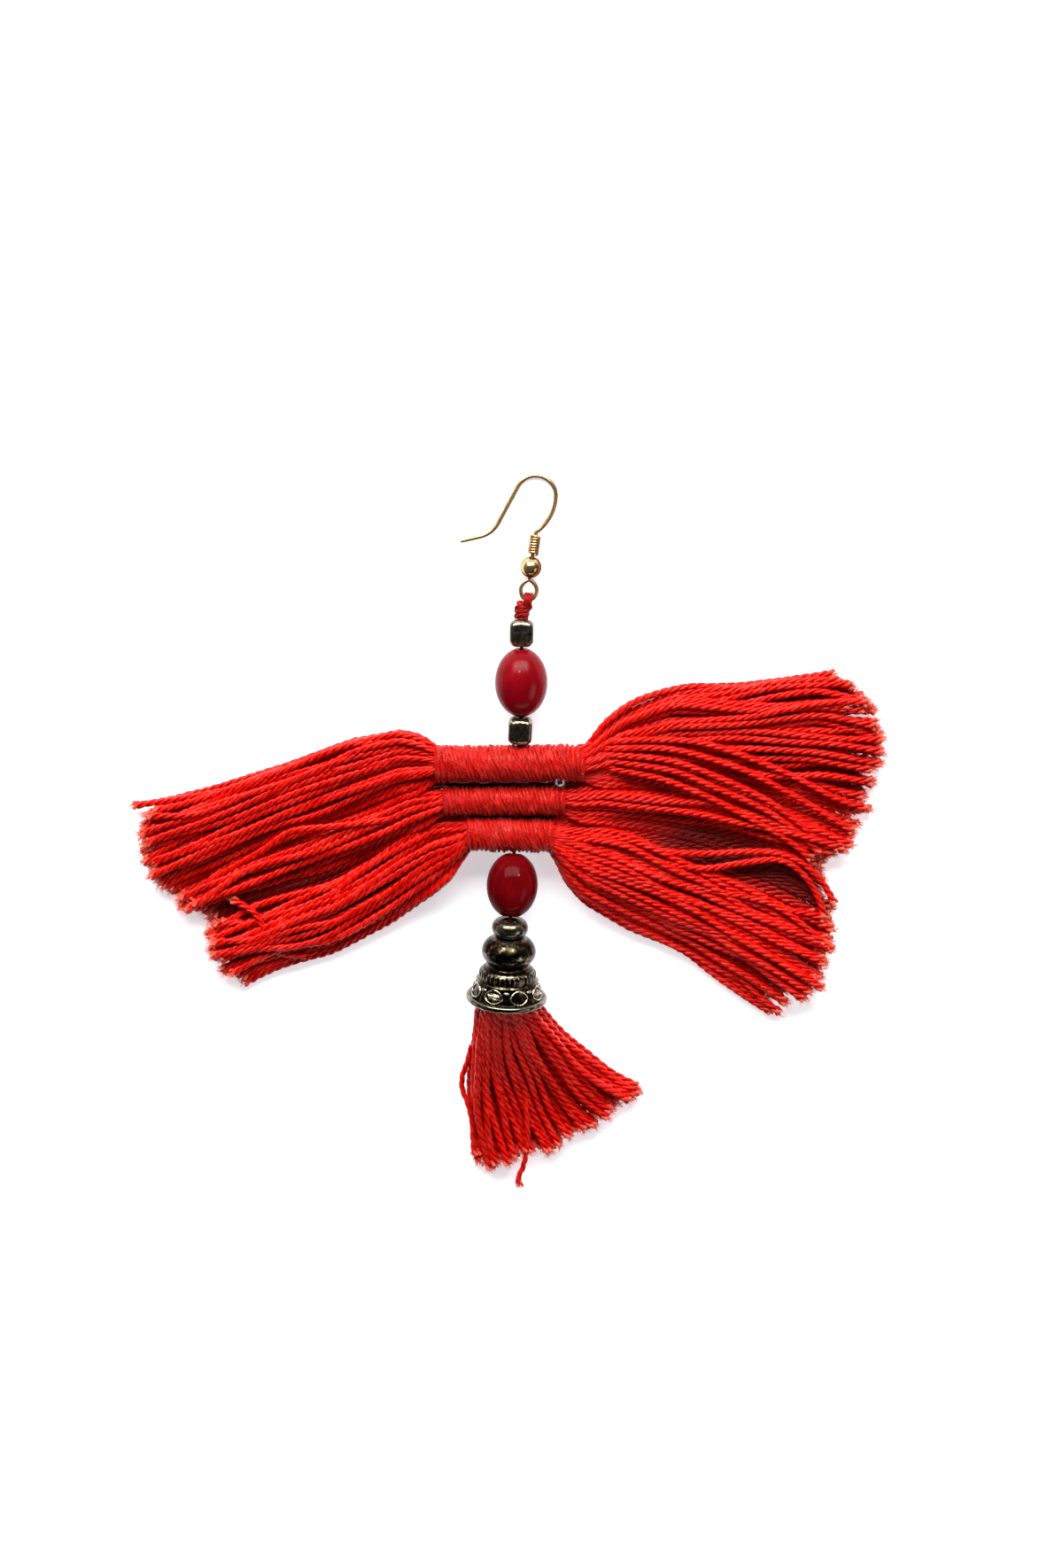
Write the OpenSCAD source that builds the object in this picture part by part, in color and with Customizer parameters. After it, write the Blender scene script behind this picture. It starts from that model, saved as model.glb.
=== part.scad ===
// Tassel earring lying flat: ear hook, drilled beads on a thread, three wound hanks that fan
// out to both sides, and a capped small tassel.
// Millimetres. +Z up from the surface it lies on, +Y towards the ear hook, +X to the right.

/* [Ear hook] */
// Diameter of the ear wire
wire_d = 0.65; // [0.6:0.05:0.8]
// Radius of the arch that hangs in the ear
arch_radius = 3; // [2.6:0.1:3.6]
// Radius of the bend between the coil and the arch
rise_radius = 7; // [6:0.2:8]
// Straight front leg of the hook
front_leg = 6.2; // [5.4:0.1:8]
// Radius of the outward bend before the tail
tail_bend = 4.2; // [3.6:0.2:6]
// Straight tail of the wire
tail_len = 3; // [2:0.2:6]
// Outer diameter of the wound coil
coil_d = 1.7; // [1.6:0.05:2.2]
// Turns of the wound coil
coil_turns = 7; // [4:1:9]
// Diameter of the ball under the coil
ball_d = 3.15; // [2.8:0.05:3.8]
// Centreline radius of the closed loop under the ball
loop_radius = 1.2; // [1.15:0.05:1.5]

/* [Thread] */
// Diameter of the thread through the beads
thread_d = 0.8; // [0.7:0.05:0.95]
// Length of the knot under the loop
knot_len = 1.9; // [1.6:0.1:2.6]
// Width of the knot
knot_w = 2.5; // [2.2:0.1:3]

/* [Beads] */
// Width of the cube beads
cube_w = 3.6; // [3.2:0.1:4.4]
// Length of the cube beads along the thread
cube_len = 4.1; // [3.6:0.1:5]
// Width of the upper oval bead
oval_upper_w = 7.9; // [7.2:0.1:9]
// Length of the upper oval bead
oval_upper_len = 10.1; // [9:0.1:12]
// Width of the lower oval bead
oval_lower_w = 7.7; // [7:0.1:8.6]
// Length of the lower oval bead
oval_lower_len = 9.5; // [9:0.1:12]
// Diameter of the spacer under the lower oval bead
spacer_d = 5.5; // [4.6:0.1:6.4]
// Length of the spacer
spacer_len = 2.3; // [1.8:0.1:3]

/* [Wound hanks] */
// Length of the top wrap
wrap_top_len = 22.4; // [20:0.2:25]
// Diameter of the top wrap
wrap_top_d = 5.7; // [5.4:0.1:6.2]
// Length of the middle wrap
wrap_middle_len = 18.4; // [17:0.2:20]
// Diameter of the middle wrap
wrap_middle_d = 4.5; // [4.3:0.1:4.8]
// Length of the bottom wrap
wrap_bottom_len = 13.1; // [12.4:0.1:15]
// Diameter of the bottom wrap
wrap_bottom_d = 5.3; // [5:0.1:5.7]
// Spacing of the wound turns
winding = 0.6; // [0.55:0.01:0.7]
// Thickness of the wound layer
wound_layer = 0.6; // [0.55:0.01:0.65]

/* [Side fringes] */
// Reach of the left fringe from the thread
reach_left = 56.5; // [52:0.5:66]
// Reach of the right fringe from the thread
reach_right = 55.2; // [51:0.5:65]
// Share of its place that each fringe lock fills, above 1 they join
lock_fill = 1.2; // [1.05:0.05:1.3]
// Half width of a lock of the small tassel
lock_w = 1.1; // [0.9:0.05:1.2]
// Half height of all locks
lock_h = 0.8; // [0.7:0.05:0.95]

/* [Cap and small tassel] */
// Length of the bead cap
cap_len = 10.4; // [9.6:0.2:12]
// Rim diameter of the bead cap
cap_rim_d = 12.2; // [11.6:0.1:13.4]
// Grooves around the shoulder of the cap
cap_grooves = 36; // [24:1:40]
// Raised petals around the bell of the cap
cap_petals = 8; // [6:1:9]
// Length of the small tassel below the cap
tassel_len = 28.4; // [25:0.2:36]

/* [Hidden] */
$fn = 48;
gap = 0.12;
joint = 0.02;
loop_wire = wire_d - 0.05;
bore_r = thread_d / 2 + gap;
fringe_gap = 0.12;

// Oval loop under the ball: its top above its foot
loop_apex = loop_radius * 2.55;
shank_lean = 5;
ball_up = loop_apex + ball_d / 2 + 0.35;
coil_wire = 0.5;
coil_len = coil_turns * (coil_wire - 0.03);
coil_up = ball_up + ball_d / 2 + 0.2;
shank_len = coil_up + coil_len - loop_apex + 0.25;

// Hook path as start points and headings of its bends
heading_out = 38;
heading_leg = 245;
heading_tail = 196;
hook_a = [shank_len * sin(shank_lean), loop_apex + shank_len * cos(shank_lean)];
hook_b = left_turn(hook_a, heading_out, 90 - heading_out, rise_radius);
hook_c = left_turn(hook_b, 90, heading_leg - 90, arch_radius);
hook_d = ahead(hook_c, heading_leg, front_leg);
hook_e = right_turn(hook_d, heading_leg, heading_leg - heading_tail, tail_bend);
hook_top = hook_b[1] + arch_radius;

// The hook lies on its ball and on the top of its arch
hook_pitch = asin((ball_d - wire_d) / 2 / (hook_top - ball_up));
loop_z = ball_d / 2 + ball_up * sin(hook_pitch);

// The thread rises to the upper oval bead, runs level through the wraps and rises to the cap
oval_pitch = 5;
bend_gap = 0.45;
upper_lean = 2.5;
knot_reach = 0.9 + knot_len;
cap_pitch = 5;
rim_z = cap_rim_d / 2 * cos(cap_pitch) + 0.02;
oval_upper_z = oval_upper_w / 2 + 0.03;
level = oval_upper_z + oval_upper_len / 2 * sin(oval_pitch);
oval_top_z = oval_upper_z - oval_upper_len / 2 * sin(oval_pitch);
cube_run = knot_reach + cube_len + 3.5 * gap;
cube_pitch = asin((oval_top_z - loop_z) / cube_run);

// Distances down the thread from the foot of the loop, seen from above
y_oval_top = cube_run * cos(cube_pitch);
y_oval_end = y_oval_top + (oval_upper_len + gap) * cos(oval_pitch);
y_cube_lower = y_oval_end + 0.1;
y_wraps = y_cube_lower + cube_len + 0.3;
tilt_top = 3.5;
tilt_bottom = 2;
shift_top = -0.058 * wrap_top_len;
shift_middle = -0.103 * wrap_middle_len;
shift_bottom = -0.053 * wrap_bottom_len;
y_wrap_top = y_wraps + wrap_top_d / 2;
y_wrap_middle = y_wrap_top + (wrap_top_d + wrap_middle_d) / 2 + 0.7;
y_wrap_bottom = y_wrap_middle + (wrap_middle_d + wrap_bottom_d) / 2 + 0.35;
stack = y_wrap_bottom - y_wrap_top;
y_oval_lower = y_wrap_bottom + wrap_bottom_d / 2 + 0.15;
cap_end_z = rim_z + (cap_len + spacer_len + 3 * gap) * sin(cap_pitch);
lower_run = oval_lower_len + gap + bend_gap;
lower_pitch = asin((cap_end_z - level) / lower_run);
y_spacer = y_oval_lower + lower_run * cos(lower_pitch);
y_mouth = y_spacer + (spacer_len + cap_len + 2 * gap) * cos(cap_pitch);

// The outline is centred on the origin
total_len = hook_top * cos(hook_pitch) + wire_d / 2 + y_mouth + tassel_len;
y_foot = total_len / 2 - hook_top * cos(hook_pitch) - wire_d / 2;
x_thread = (reach_left - reach_right) / 2;
hook_x = x_thread + 0.15;

// Bell of the cap as shares of its length and rim radius
bell = [[0, 0.3], [0.03, 0.4], [0.24, 0.67], [0.44, 0.5], [0.52, 0.66], [0.58, 0.7],
  [0.66, 0.71], [0.7, 0.77], [0.8, 0.81], [0.9, 0.88], [0.91, 0.99], [0.93, 1],
  [0.97, 1], [1, 0.98], [1, 0.89], [0.88, 0.8], [0.7, 0.66], [0.55, 0.36], [0.5, 0.3],
  [0.48, 0.17], [0, 0.17]];

// Side fringes: share of the reach, top and bottom edge as shares of the wrap stack, height of
// the middle as a share of the thread level
top_left = [[0, 0.1, -0.2, 1], [0.04, 0.32, -0.47, 0.95], [0.12, 0.36, -0.62, 0.72],
  [0.28, 0.17, -0.97, 0.48], [0.5, -0.23, -1.36, 0.34], [0.75, -0.62, -1.91, 0.31],
  [1, -0.92, -2.5, 0.3]];
middle_left = [[0, 0.04, -0.2, 1], [0.04, 0.03, -0.34, 0.95], [0.12, -0.04, -0.53, 0.72],
  [0.28, -0.33, -0.87, 0.48], [0.5, -0.73, -1.3, 0.34], [0.75, -1.1, -1.64, 0.31],
  [1, -1.71, -2.03, 0.3]];
bottom_left = [[0, 0.12, -0.2, 1], [0.04, 0.14, -0.63, 0.95], [0.12, 0.12, -0.95, 0.72],
  [0.28, -0.21, -1.42, 0.48], [0.5, -0.66, -1.9, 0.34], [0.75, -1.08, -2.21, 0.31],
  [1, -1.46, -2.6, 0.3]];
top_right = [[0, 0.2, -0.1, 1], [0.04, 0.51, -0.24, 0.95], [0.12, 0.79, -0.24, 0.72],
  [0.28, 1.1, -0.31, 0.48], [0.5, 1.21, -0.37, 0.34], [0.75, 1.42, -0.52, 0.31],
  [1, 1.53, -0.73, 0.3]];
middle_right = [[0, 0.15, -0.15, 1], [0.04, 0.2, -0.21, 0.95], [0.12, 0.26, -0.23, 0.72],
  [0.28, 0.23, -0.27, 0.48], [0.5, 0.16, -0.4, 0.34], [0.75, 0.03, -0.68, 0.31],
  [1, -0.27, -1.05, 0.3]];
bottom_right = [[0, 0.12, -0.15, 1], [0.04, 0.2, -0.6, 0.95], [0.12, 0.2, -0.97, 0.72],
  [0.28, 0.15, -1.34, 0.48], [0.5, 0, -1.68, 0.34], [0.75, -0.27, -2.26, 0.31],
  [1, -0.61, -2.88, 0.3]];

// Where each lock ends, top to bottom, as shares of the reach
ends_top_left = [0.97, 0.99, 1, 0.98, 1, 0.95, 0.97, 0.93, 0.92, 0.87];
ends_middle_left = [1, 0.97, 0.98, 0.94, 0.95, 0.91];
ends_bottom_left = [1, 0.97, 0.99, 0.96, 0.97, 0.93, 0.92, 0.88, 0.85];
ends_top_right = [0.83, 0.88, 0.93, 0.95, 0.98, 0.99, 1, 0.95, 0.97, 0.94, 0.97, 0.91];
ends_middle_right = [1, 0.96, 0.97, 0.93, 0.91, 0.88];
ends_bottom_right = [0.95, 1, 0.97, 1, 0.96, 0.98, 0.93, 0.92, 0.87, 0.84, 0.79];

// Small tassel: share across the mouth, halfway point and end as shares of the tassel length,
// layer (1 upper, 0 lower)
tassel_locks = [[-1, -0.165, -0.42, -0.13, -0.93, 1], [-0.78, -0.13, -0.46, -0.05, -1, 1],
  [-0.56, -0.08, -0.47, 0.05, -0.96, 1], [-0.34, -0.01, -0.45, 0.14, -0.89, 1],
  [-0.12, 0.06, -0.44, 0.25, -0.9, 1], [0.1, 0.125, -0.43, 0.33, -0.84, 1],
  [0.3, 0.19, -0.41, 0.42, -0.78, 1], [0.48, 0.25, -0.4, 0.51, -0.73, 1],
  [0.64, 0.32, -0.38, 0.59, -0.65, 1], [0.8, 0.385, -0.355, 0.68, -0.58, 1],
  [1, 0.45, -0.33, 0.77, -0.52, 1], [-0.8, -0.13, -0.42, -0.08, -0.9, 0],
  [-0.3, 0.01, -0.42, 0.15, -0.84, 0], [0.2, 0.15, -0.39, 0.36, -0.76, 0],
  [0.75, 0.33, -0.34, 0.62, -0.58, 0]];

function left_turn(p, h, a, r) =
  [p[0] + r * (sin(h + a) - sin(h)), p[1] + r * (cos(h) - cos(h + a))];
function right_turn(p, h, a, r) =
  [p[0] + r * (sin(h) - sin(h - a)), p[1] + r * (cos(h - a) - cos(h))];
function ahead(p, h, l) = [p[0] + l * cos(h), p[1] + l * sin(h)];
function mix(a, b, t) = a + (b - a) * t;
function at_share(table, column, s) = lookup(s, [for (row = table) [row[0], row[column]]]);
function curve(a, m, b, t) =
  a * (1 - t) * (1 - 2 * t) + m * 4 * t * (1 - t) + b * t * (2 * t - 1);

module in_hook() {
  translate([hook_x, y_foot, loop_z]) rotate([-hook_pitch, 0, 0]) children();
}

module on_shank(up) {
  translate([0, loop_apex, 0]) rotate([0, 0, -shank_lean])
    translate([0, up - loop_apex, 0]) rotate([-90, 0, 0]) children();
}

module wire_end(p, d) {
  translate([p[0], p[1], 0]) sphere(d = d + 4 * joint);
}

module wire_left(p, h, a, r) {
  skip = joint / r * 57.3;
  translate([p[0] - r * sin(h), p[1] + r * cos(h), 0]) rotate([0, 0, h - 90 + skip])
    rotate_extrude(angle = a - 2 * skip) translate([r, 0]) circle(d = wire_d);
}

module wire_right(p, h, a, r) {
  skip = joint / r * 57.3;
  translate([p[0] + r * sin(h), p[1] - r * cos(h), 0]) rotate([0, 0, h - a + 90 + skip])
    rotate_extrude(angle = a - 2 * skip) translate([r, 0]) circle(d = wire_d);
}

module wire_line(p, h, l, d, skip) {
  translate([p[0], p[1], 0]) rotate([0, 0, h]) rotate([0, 90, 0])
    translate([0, 0, skip]) cylinder(d = d, h = l - 2 * skip);
}

module hook_loop() {
  translate([0, loop_apex / 2, 0]) scale([1, loop_apex / loop_radius / 2, 1])
    rotate_extrude() translate([loop_radius, 0]) circle(d = loop_wire);
}

module ear_hook() {
  color("goldenrod") in_hook() {
    hook_loop();
    wire_end([0, loop_apex], wire_d);
    wire_line([0, loop_apex], 90 - shank_lean, shank_len, wire_d, joint);
    wire_end(hook_a, wire_d);
    wire_left(hook_a, heading_out, 90 - heading_out, rise_radius);
    wire_end(hook_b, wire_d);
    wire_left(hook_b, 90, heading_leg - 90, arch_radius);
    wire_end(hook_c, wire_d);
    wire_line(hook_c, heading_leg, front_leg, wire_d, joint);
    wire_end(hook_d, wire_d);
    wire_right(hook_d, heading_leg, heading_leg - heading_tail, tail_bend);
    wire_end(hook_e, wire_d);
    wire_line(hook_e, heading_tail, tail_len, wire_d, joint);
  }
}

module hook_coil() {
  color("goldenrod") in_hook() on_shank(coil_up) difference() {
    rotate_extrude() union() {
      translate([0, 0.1]) square([coil_d / 2 - coil_wire / 2, coil_len - 0.2]);
      for (i = [0 : coil_turns - 1])
        translate([(coil_d - coil_wire) / 2, (i + 0.5) * coil_len / coil_turns])
          circle(d = coil_wire);
    }
    translate([0, 0, -1]) cylinder(r = wire_d / 2 + 0.06, h = coil_len + 2);
  }
}

module hook_ball() {
  color("goldenrod") in_hook() on_shank(ball_up) difference() {
    sphere(d = ball_d);
    translate([0, 0, -ball_d]) cylinder(r = wire_d / 2 + 0.08, h = 2 * ball_d);
  }
}

// Upper run of the thread, leaning to the left about the lower end of the upper oval bead
module leaning() {
  translate([x_thread, y_foot - y_oval_end, 0]) rotate([0, 0, upper_lean])
    translate([0, y_oval_end, 0]) children();
}

module on_cube_run(down) {
  leaning() translate([0, -down * cos(cube_pitch), loop_z + down * sin(cube_pitch)])
    rotate([90 - cube_pitch, 0, 0]) children();
}

module on_oval_upper() {
  leaning() translate([0, -y_oval_top - oval_upper_len / 2 * cos(oval_pitch), oval_upper_z])
    rotate([90 - oval_pitch, 0, 0]) children();
}

module on_level(down) {
  translate([x_thread, y_foot - down, level]) rotate([90, 0, 0]) children();
}

module on_lower_run(down) {
  translate([x_thread, y_foot - y_oval_lower - down * cos(lower_pitch),
    level + down * sin(lower_pitch)]) rotate([90 - lower_pitch, 0, 0]) children();
}

module on_cap_run(down) {
  translate([x_thread, y_foot - y_spacer - down * cos(cap_pitch),
    cap_end_z - down * sin(cap_pitch)]) rotate([90 + cap_pitch, 0, 0]) children();
}

// A point of the upper run at a distance along it from the foot of the loop
function upper_run(d) = let (y = y_oval_end - d * cos(cube_pitch))
  [x_thread - y * sin(upper_lean), y_foot - y_oval_end + y * cos(upper_lean),
    loop_z + d * sin(cube_pitch)];

// One ring of a thread loop round the foot of the hook's loop
function loop_ring(x, turn) = [for (a = [22.5 : 45 : 350])
  [hook_x + x + 0.31 * cos(a), y_foot - 0.1 + (1.05 + 0.31 * sin(a)) * cos(turn),
    loop_z + (1.05 + 0.31 * sin(a)) * sin(turn)]];

module bead_thread() {
  knot = [[0, 0.3], [0.06, 0.42], [0.28, 0.5], [0.5, 0.41], [0.7, 0.47], [0.94, 0.38], [1, 0.2]];
  r = thread_d / 2;
  end = spacer_len + 0.72 * cap_len;
  knot_points = [for (k = knot) upper_run(0.9 + k[0] * knot_len)];
  run_points = [upper_run(0.9 + 0.97 * knot_len), upper_run(cube_run),
    [x_thread, y_foot - y_oval_end, level], [x_thread, y_foot - y_oval_lower, level],
    [x_thread, y_foot - y_spacer, cap_end_z],
    [x_thread, y_foot - y_spacer - end * cos(cap_pitch), cap_end_z - end * sin(cap_pitch)]];
  color("firebrick") {
    for (x = [-0.29, 0.29])
      for (turn = [0 : 36 : 324])
        link(loop_ring(x, turn), loop_ring(x, turn + 36));
    lock(knot_points, [for (k = knot) k[1] * knot_w], [for (k = knot) 0.9 * k[1] * knot_w],
      [0, -1, 0]);
    lock(run_points, [for (p = run_points) r], [for (p = run_points) r], [0, -1, 0]);
  }
}

module cube_bead() {
  difference() {
    intersection() {
      cube([cube_w, cube_w, cube_len], center = true);
      cylinder(d = cube_w * 1.3, h = 2 * cube_len, center = true);
      sphere(d = cube_len * 1.36);
    }
    cylinder(r = bore_r, h = 2 * cube_len, center = true);
  }
}

module cube_bead_upper() {
  color("dimgray") on_cube_run(knot_reach + gap + cube_len / 2) cube_bead();
}

module cube_bead_lower() {
  color("dimgray") on_level(y_cube_lower + cube_len / 2) cube_bead();
}

module oval_bead(w, l) {
  difference() {
    intersection() {
      scale([w / 2, w / 2, l / 2 * 1.04]) sphere(r = 1);
      cube([2 * w, 2 * w, l], center = true);
    }
    cylinder(r = bore_r, h = 2 * l, center = true);
  }
}

module oval_bead_upper() {
  color("crimson") on_oval_upper() oval_bead(oval_upper_w, oval_upper_len - gap);
}

module oval_bead_lower() {
  color("crimson") on_lower_run(gap + oval_lower_len / 2) oval_bead(oval_lower_w, oval_lower_len);
}

module spacer() {
  color("dimgray") on_cap_run(gap) difference() {
    rotate_extrude() intersection() {
      translate([spacer_d / 2 - spacer_len * 0.6, spacer_len / 2])
        circle(r = spacer_len * 0.6);
      square([spacer_d, spacer_len]);
    }
    translate([0, 0, -1]) cylinder(r = bore_r, h = spacer_len + 2);
  }
}

module wound_tube(len, d, hank_r) {
  turns = floor((len - 0.1) / winding);
  rotate([0, 90, 0]) difference() {
    rotate_extrude() union() {
      translate([0, -len / 2]) square([d / 2 - winding / 2, len]);
      for (i = [0 : turns - 1])
        translate([d / 2 - winding / 2, (i + 0.5 - turns / 2) * winding])
          circle(d = winding * 1.04);
    }
    cylinder(r = hank_r + gap, h = len + 2, center = true);
  }
}

module thread_hole() {
  translate([x_thread, y_foot, level]) rotate([90, 0, 0])
    cylinder(r = bore_r, h = total_len);
}

function hank_radius(d) = d / 2 - wound_layer;

module wrap(y, x, tilt, len, d) {
  color("crimson") difference() {
    translate([x_thread + x, y_foot - y, level]) rotate([0, 0, tilt])
      wound_tube(len, d, hank_radius(d));
    thread_hole();
  }
}

module wrap_top() {
  wrap(y_wrap_top, shift_top, tilt_top, wrap_top_len, wrap_top_d);
}

module wrap_middle() {
  wrap(y_wrap_middle, shift_middle, tilt_top, wrap_middle_len, wrap_middle_d);
}

module wrap_bottom() {
  wrap(y_wrap_bottom, shift_bottom, tilt_bottom, wrap_bottom_len, wrap_bottom_d);
}

// One ring of a lock: eight points across its direction
function ring(p, dir, w, h) =
  [for (a = [22.5 : 45 : 350]) let (n = norm([dir[0], dir[1]]))
    [p[0] - dir[1] / n * w * cos(a), p[1] + dir[0] / n * w * cos(a), p[2] + h * sin(a)]];

module link(a, b) {
  hull() polyhedron(points = concat(a, b), faces = [[7, 6, 5, 4, 3, 2, 1, 0],
    [8, 9, 10, 11, 12, 13, 14, 15], [0, 1, 9, 8], [1, 2, 10, 9], [2, 3, 11, 10],
    [3, 4, 12, 11], [4, 5, 13, 12], [5, 6, 14, 13], [6, 7, 15, 14], [7, 0, 8, 15]]);
}

module lock(points, widths, heights, start) {
  last = len(points) - 1;
  rings = [for (k = [0 : last]) ring(points[k],
    k == 0 ? start : points[min(k + 1, last)] - points[k - 1], widths[k], heights[k])];
  for (k = [0 : last - 1]) link(rings[k], rings[k + 1]);
}

// Locks of one fringe, side -1 left and 1 right, leaving the wrap at the point from
module fringe(from, side, reach, table, ends, hank_r) {
  steps = [0, 0.04, 0.09, 0.17, 0.32, 0.62, 1];
  last = len(steps) - 1;
  n = len(ends);
  for (i = [0 : n - 1]) {
    layer = i % 2 == 0 ? 1 : -1;
    y_first = mix(hank_r - 0.55, 0.55 - hank_r, i / (n - 1));
    z_first = layer * sqrt(max(0.01, pow(hank_r - 0.6, 2) - pow(y_first, 2))) * 0.9;
    shares = [for (k = [0 : last]) k < 2 ? steps[k] : steps[k] * ends[i]];
    tops = [for (s = shares) at_share(table, 1, s) * stack - fringe_gap];
    lows = [for (s = shares) at_share(table, 2, s) * stack + fringe_gap];
    widths = [for (k = [0 : last])
      k == 0 ? 0.45 : max(0.5, (tops[k] - lows[k]) / n / 2 * lock_fill)];
    points = [for (k = [0 : last]) let (z = at_share(table, 3, shares[k]) * level)
      k == 0 ? [from[0] + side * 0.2, from[1] + y_first, level + z_first]
        : [mix(from[0], x_thread + side * reach, shares[k]),
          from[2] + mix(tops[k] - widths[k], lows[k] + widths[k], i / (n - 1)),
          max(z + layer * 0.55 * lock_h, lock_h + 0.03)]];
    lock(points, widths, [for (k = [0 : last]) k == 0 ? 0.45 : k == last ? 0.85 * lock_h
      : lock_h], [side, 0, 0]);
  }
}

module hank(y, x, tilt, len, d, left, right, ends_left, ends_right, share_left, share_right) {
  hank_r = hank_radius(d);
  half = len / 2 + 0.35;
  cx = x_thread + x;
  cy = y_foot - y;
  color("red") difference() {
    union() {
      translate([cx, cy, level]) rotate([0, 0, tilt]) rotate([0, 90, 0])
        cylinder(r = hank_r, h = 2 * half, center = true, $fn = 24);
      fringe([cx - len / 2 * cos(tilt), cy - len / 2 * sin(tilt), cy], -1,
        reach_left * share_left, left, ends_left, hank_r);
      fringe([cx + len / 2 * cos(tilt), cy + len / 2 * sin(tilt), cy], 1,
        reach_right * share_right, right, ends_right, hank_r);
    }
    translate([x_thread, cy + d, level]) rotate([90, 0, 0])
      cylinder(r = bore_r, h = 2 * d, $fn = 24);
  }
}

module hank_top() {
  hank(y_wrap_top, shift_top, tilt_top, wrap_top_len, wrap_top_d, top_left, top_right,
    ends_top_left, ends_top_right, 1, 1);
}

module hank_middle() {
  hank(y_wrap_middle, shift_middle, tilt_top, wrap_middle_len, wrap_middle_d, middle_left,
    middle_right, ends_middle_left, ends_middle_right, 0.89, 0.93);
}

module hank_bottom() {
  hank(y_wrap_bottom, shift_bottom, tilt_bottom, wrap_bottom_len, wrap_bottom_d, bottom_left,
    bottom_right, ends_bottom_left, ends_bottom_right, 0.82, 0.89);
}

module petal_outline(w, h) {
  union() {
    translate([0, h - w / 2]) circle(d = w);
    translate([-w / 2, 0]) square([w, h - w / 2]);
  }
}

module bead_cap() {
  rim_r = cap_rim_d / 2;
  petal_w = 2 * 3.1416 * rim_r * 0.86 / cap_petals * 0.82;
  petal_h = cap_len * 0.23;
  petal_in = petal_w / 2 / tan(180 / cap_petals) + 0.05;
  color("darkkhaki") on_cap_run(spacer_len + 2 * gap) difference() {
    union() {
      rotate_extrude() polygon([for (p = bell) [p[1] * rim_r, p[0] * cap_len]]);
      intersection() {
        rotate_extrude() polygon([[0.7 * rim_r, 0.66 * cap_len], [0.8 * rim_r, 0.66 * cap_len],
          [0.93 * rim_r, 0.92 * cap_len], [0.84 * rim_r, 0.92 * cap_len]]);
        for (i = [0 : cap_petals - 1])
          rotate([0, 0, (i + 0.5) * 360 / cap_petals]) translate([petal_in, 0, 0.685 * cap_len])
            rotate([90, 0, 90]) linear_extrude(height = rim_r) difference() {
              petal_outline(petal_w, petal_h);
              translate([0, -0.01]) petal_outline(petal_w - 1, petal_h - 0.5);
            }
      }
    }
    for (i = [0 : cap_grooves - 1])
      rotate([0, 0, i * 360 / cap_grooves]) translate([rim_r * 0.735, 0, 0.5 * cap_len])
        cylinder(r = 0.2, h = 0.17 * cap_len);
  }
}

module small_tassel() {
  mouth_r = cap_rim_d / 2 * 0.84;
  spread = mouth_r - lock_w - 0.35;
  y_edge = y_foot - y_mouth;
  inner = 0.3 * cap_len;
  color("red") difference() {
    union() {
      on_cap_run(spacer_len + 2 * gap + 0.6 * cap_len)
        cylinder(r1 = 0.22 * cap_rim_d, r2 = 0.24 * cap_rim_d, h = 0.16 * cap_len, $fn = 24);
      for (row = tassel_locks) {
        upper = row[5];
        z_mouth = rim_z + (upper == 1 ? -0.3 : -1) * spread
          + (upper == 1 ? 0.28 : 0) * spread * (1 - pow(row[0], 2));
        start = [x_thread + row[0] * spread * 0.28, y_edge + inner,
          rim_z + inner * sin(cap_pitch) - (1 - upper) * 0.8];
        mouth = [x_thread + row[0] * spread * 0.9, y_edge + 0.2,
          max(z_mouth, lock_h + 0.05 + (upper == 1 ? 0.9 : 0.85))];
        middle = [x_thread + row[1] * tassel_len, y_edge + row[2] * tassel_len,
          lock_h + 0.05 + upper * 1.3];
        end = [x_thread + row[3] * tassel_len, y_edge + row[4] * tassel_len,
          lock_h + 0.05 + upper * 0.55];
        points = concat([start, mouth], [for (t = [0.2, 0.45, 0.72, 1])
          let (p = curve(mouth, middle, end, t)) [p[0], p[1], max(p[2], lock_h + 0.04)]]);
        lock(points, [0.6, 0.85 * lock_w, lock_w, lock_w, lock_w, lock_w],
          [0.6, lock_h, lock_h, lock_h, lock_h, 0.85 * lock_h], [0, -1, 0]);
      }
    }
    on_cap_run(0) cylinder(r = bore_r, h = spacer_len + 0.74 * cap_len, $fn = 24);
  }
}

ear_hook();
hook_coil();
hook_ball();
bead_thread();
cube_bead_upper();
oval_bead_upper();
cube_bead_lower();
wrap_top();
wrap_middle();
wrap_bottom();
hank_top();
hank_middle();
hank_bottom();
oval_bead_lower();
spacer();
bead_cap();
small_tassel();
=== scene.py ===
"""Tassel earring lying flat: ear hook, drilled beads on a thread, three wound hanks that fan out
to both sides, and a capped small tassel. Lengths are in millimetres until they reach a mesh."""
import math
import random
from collections import namedtuple

import bmesh
import bpy
import numpy as np
from mathutils import Matrix, Vector


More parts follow.
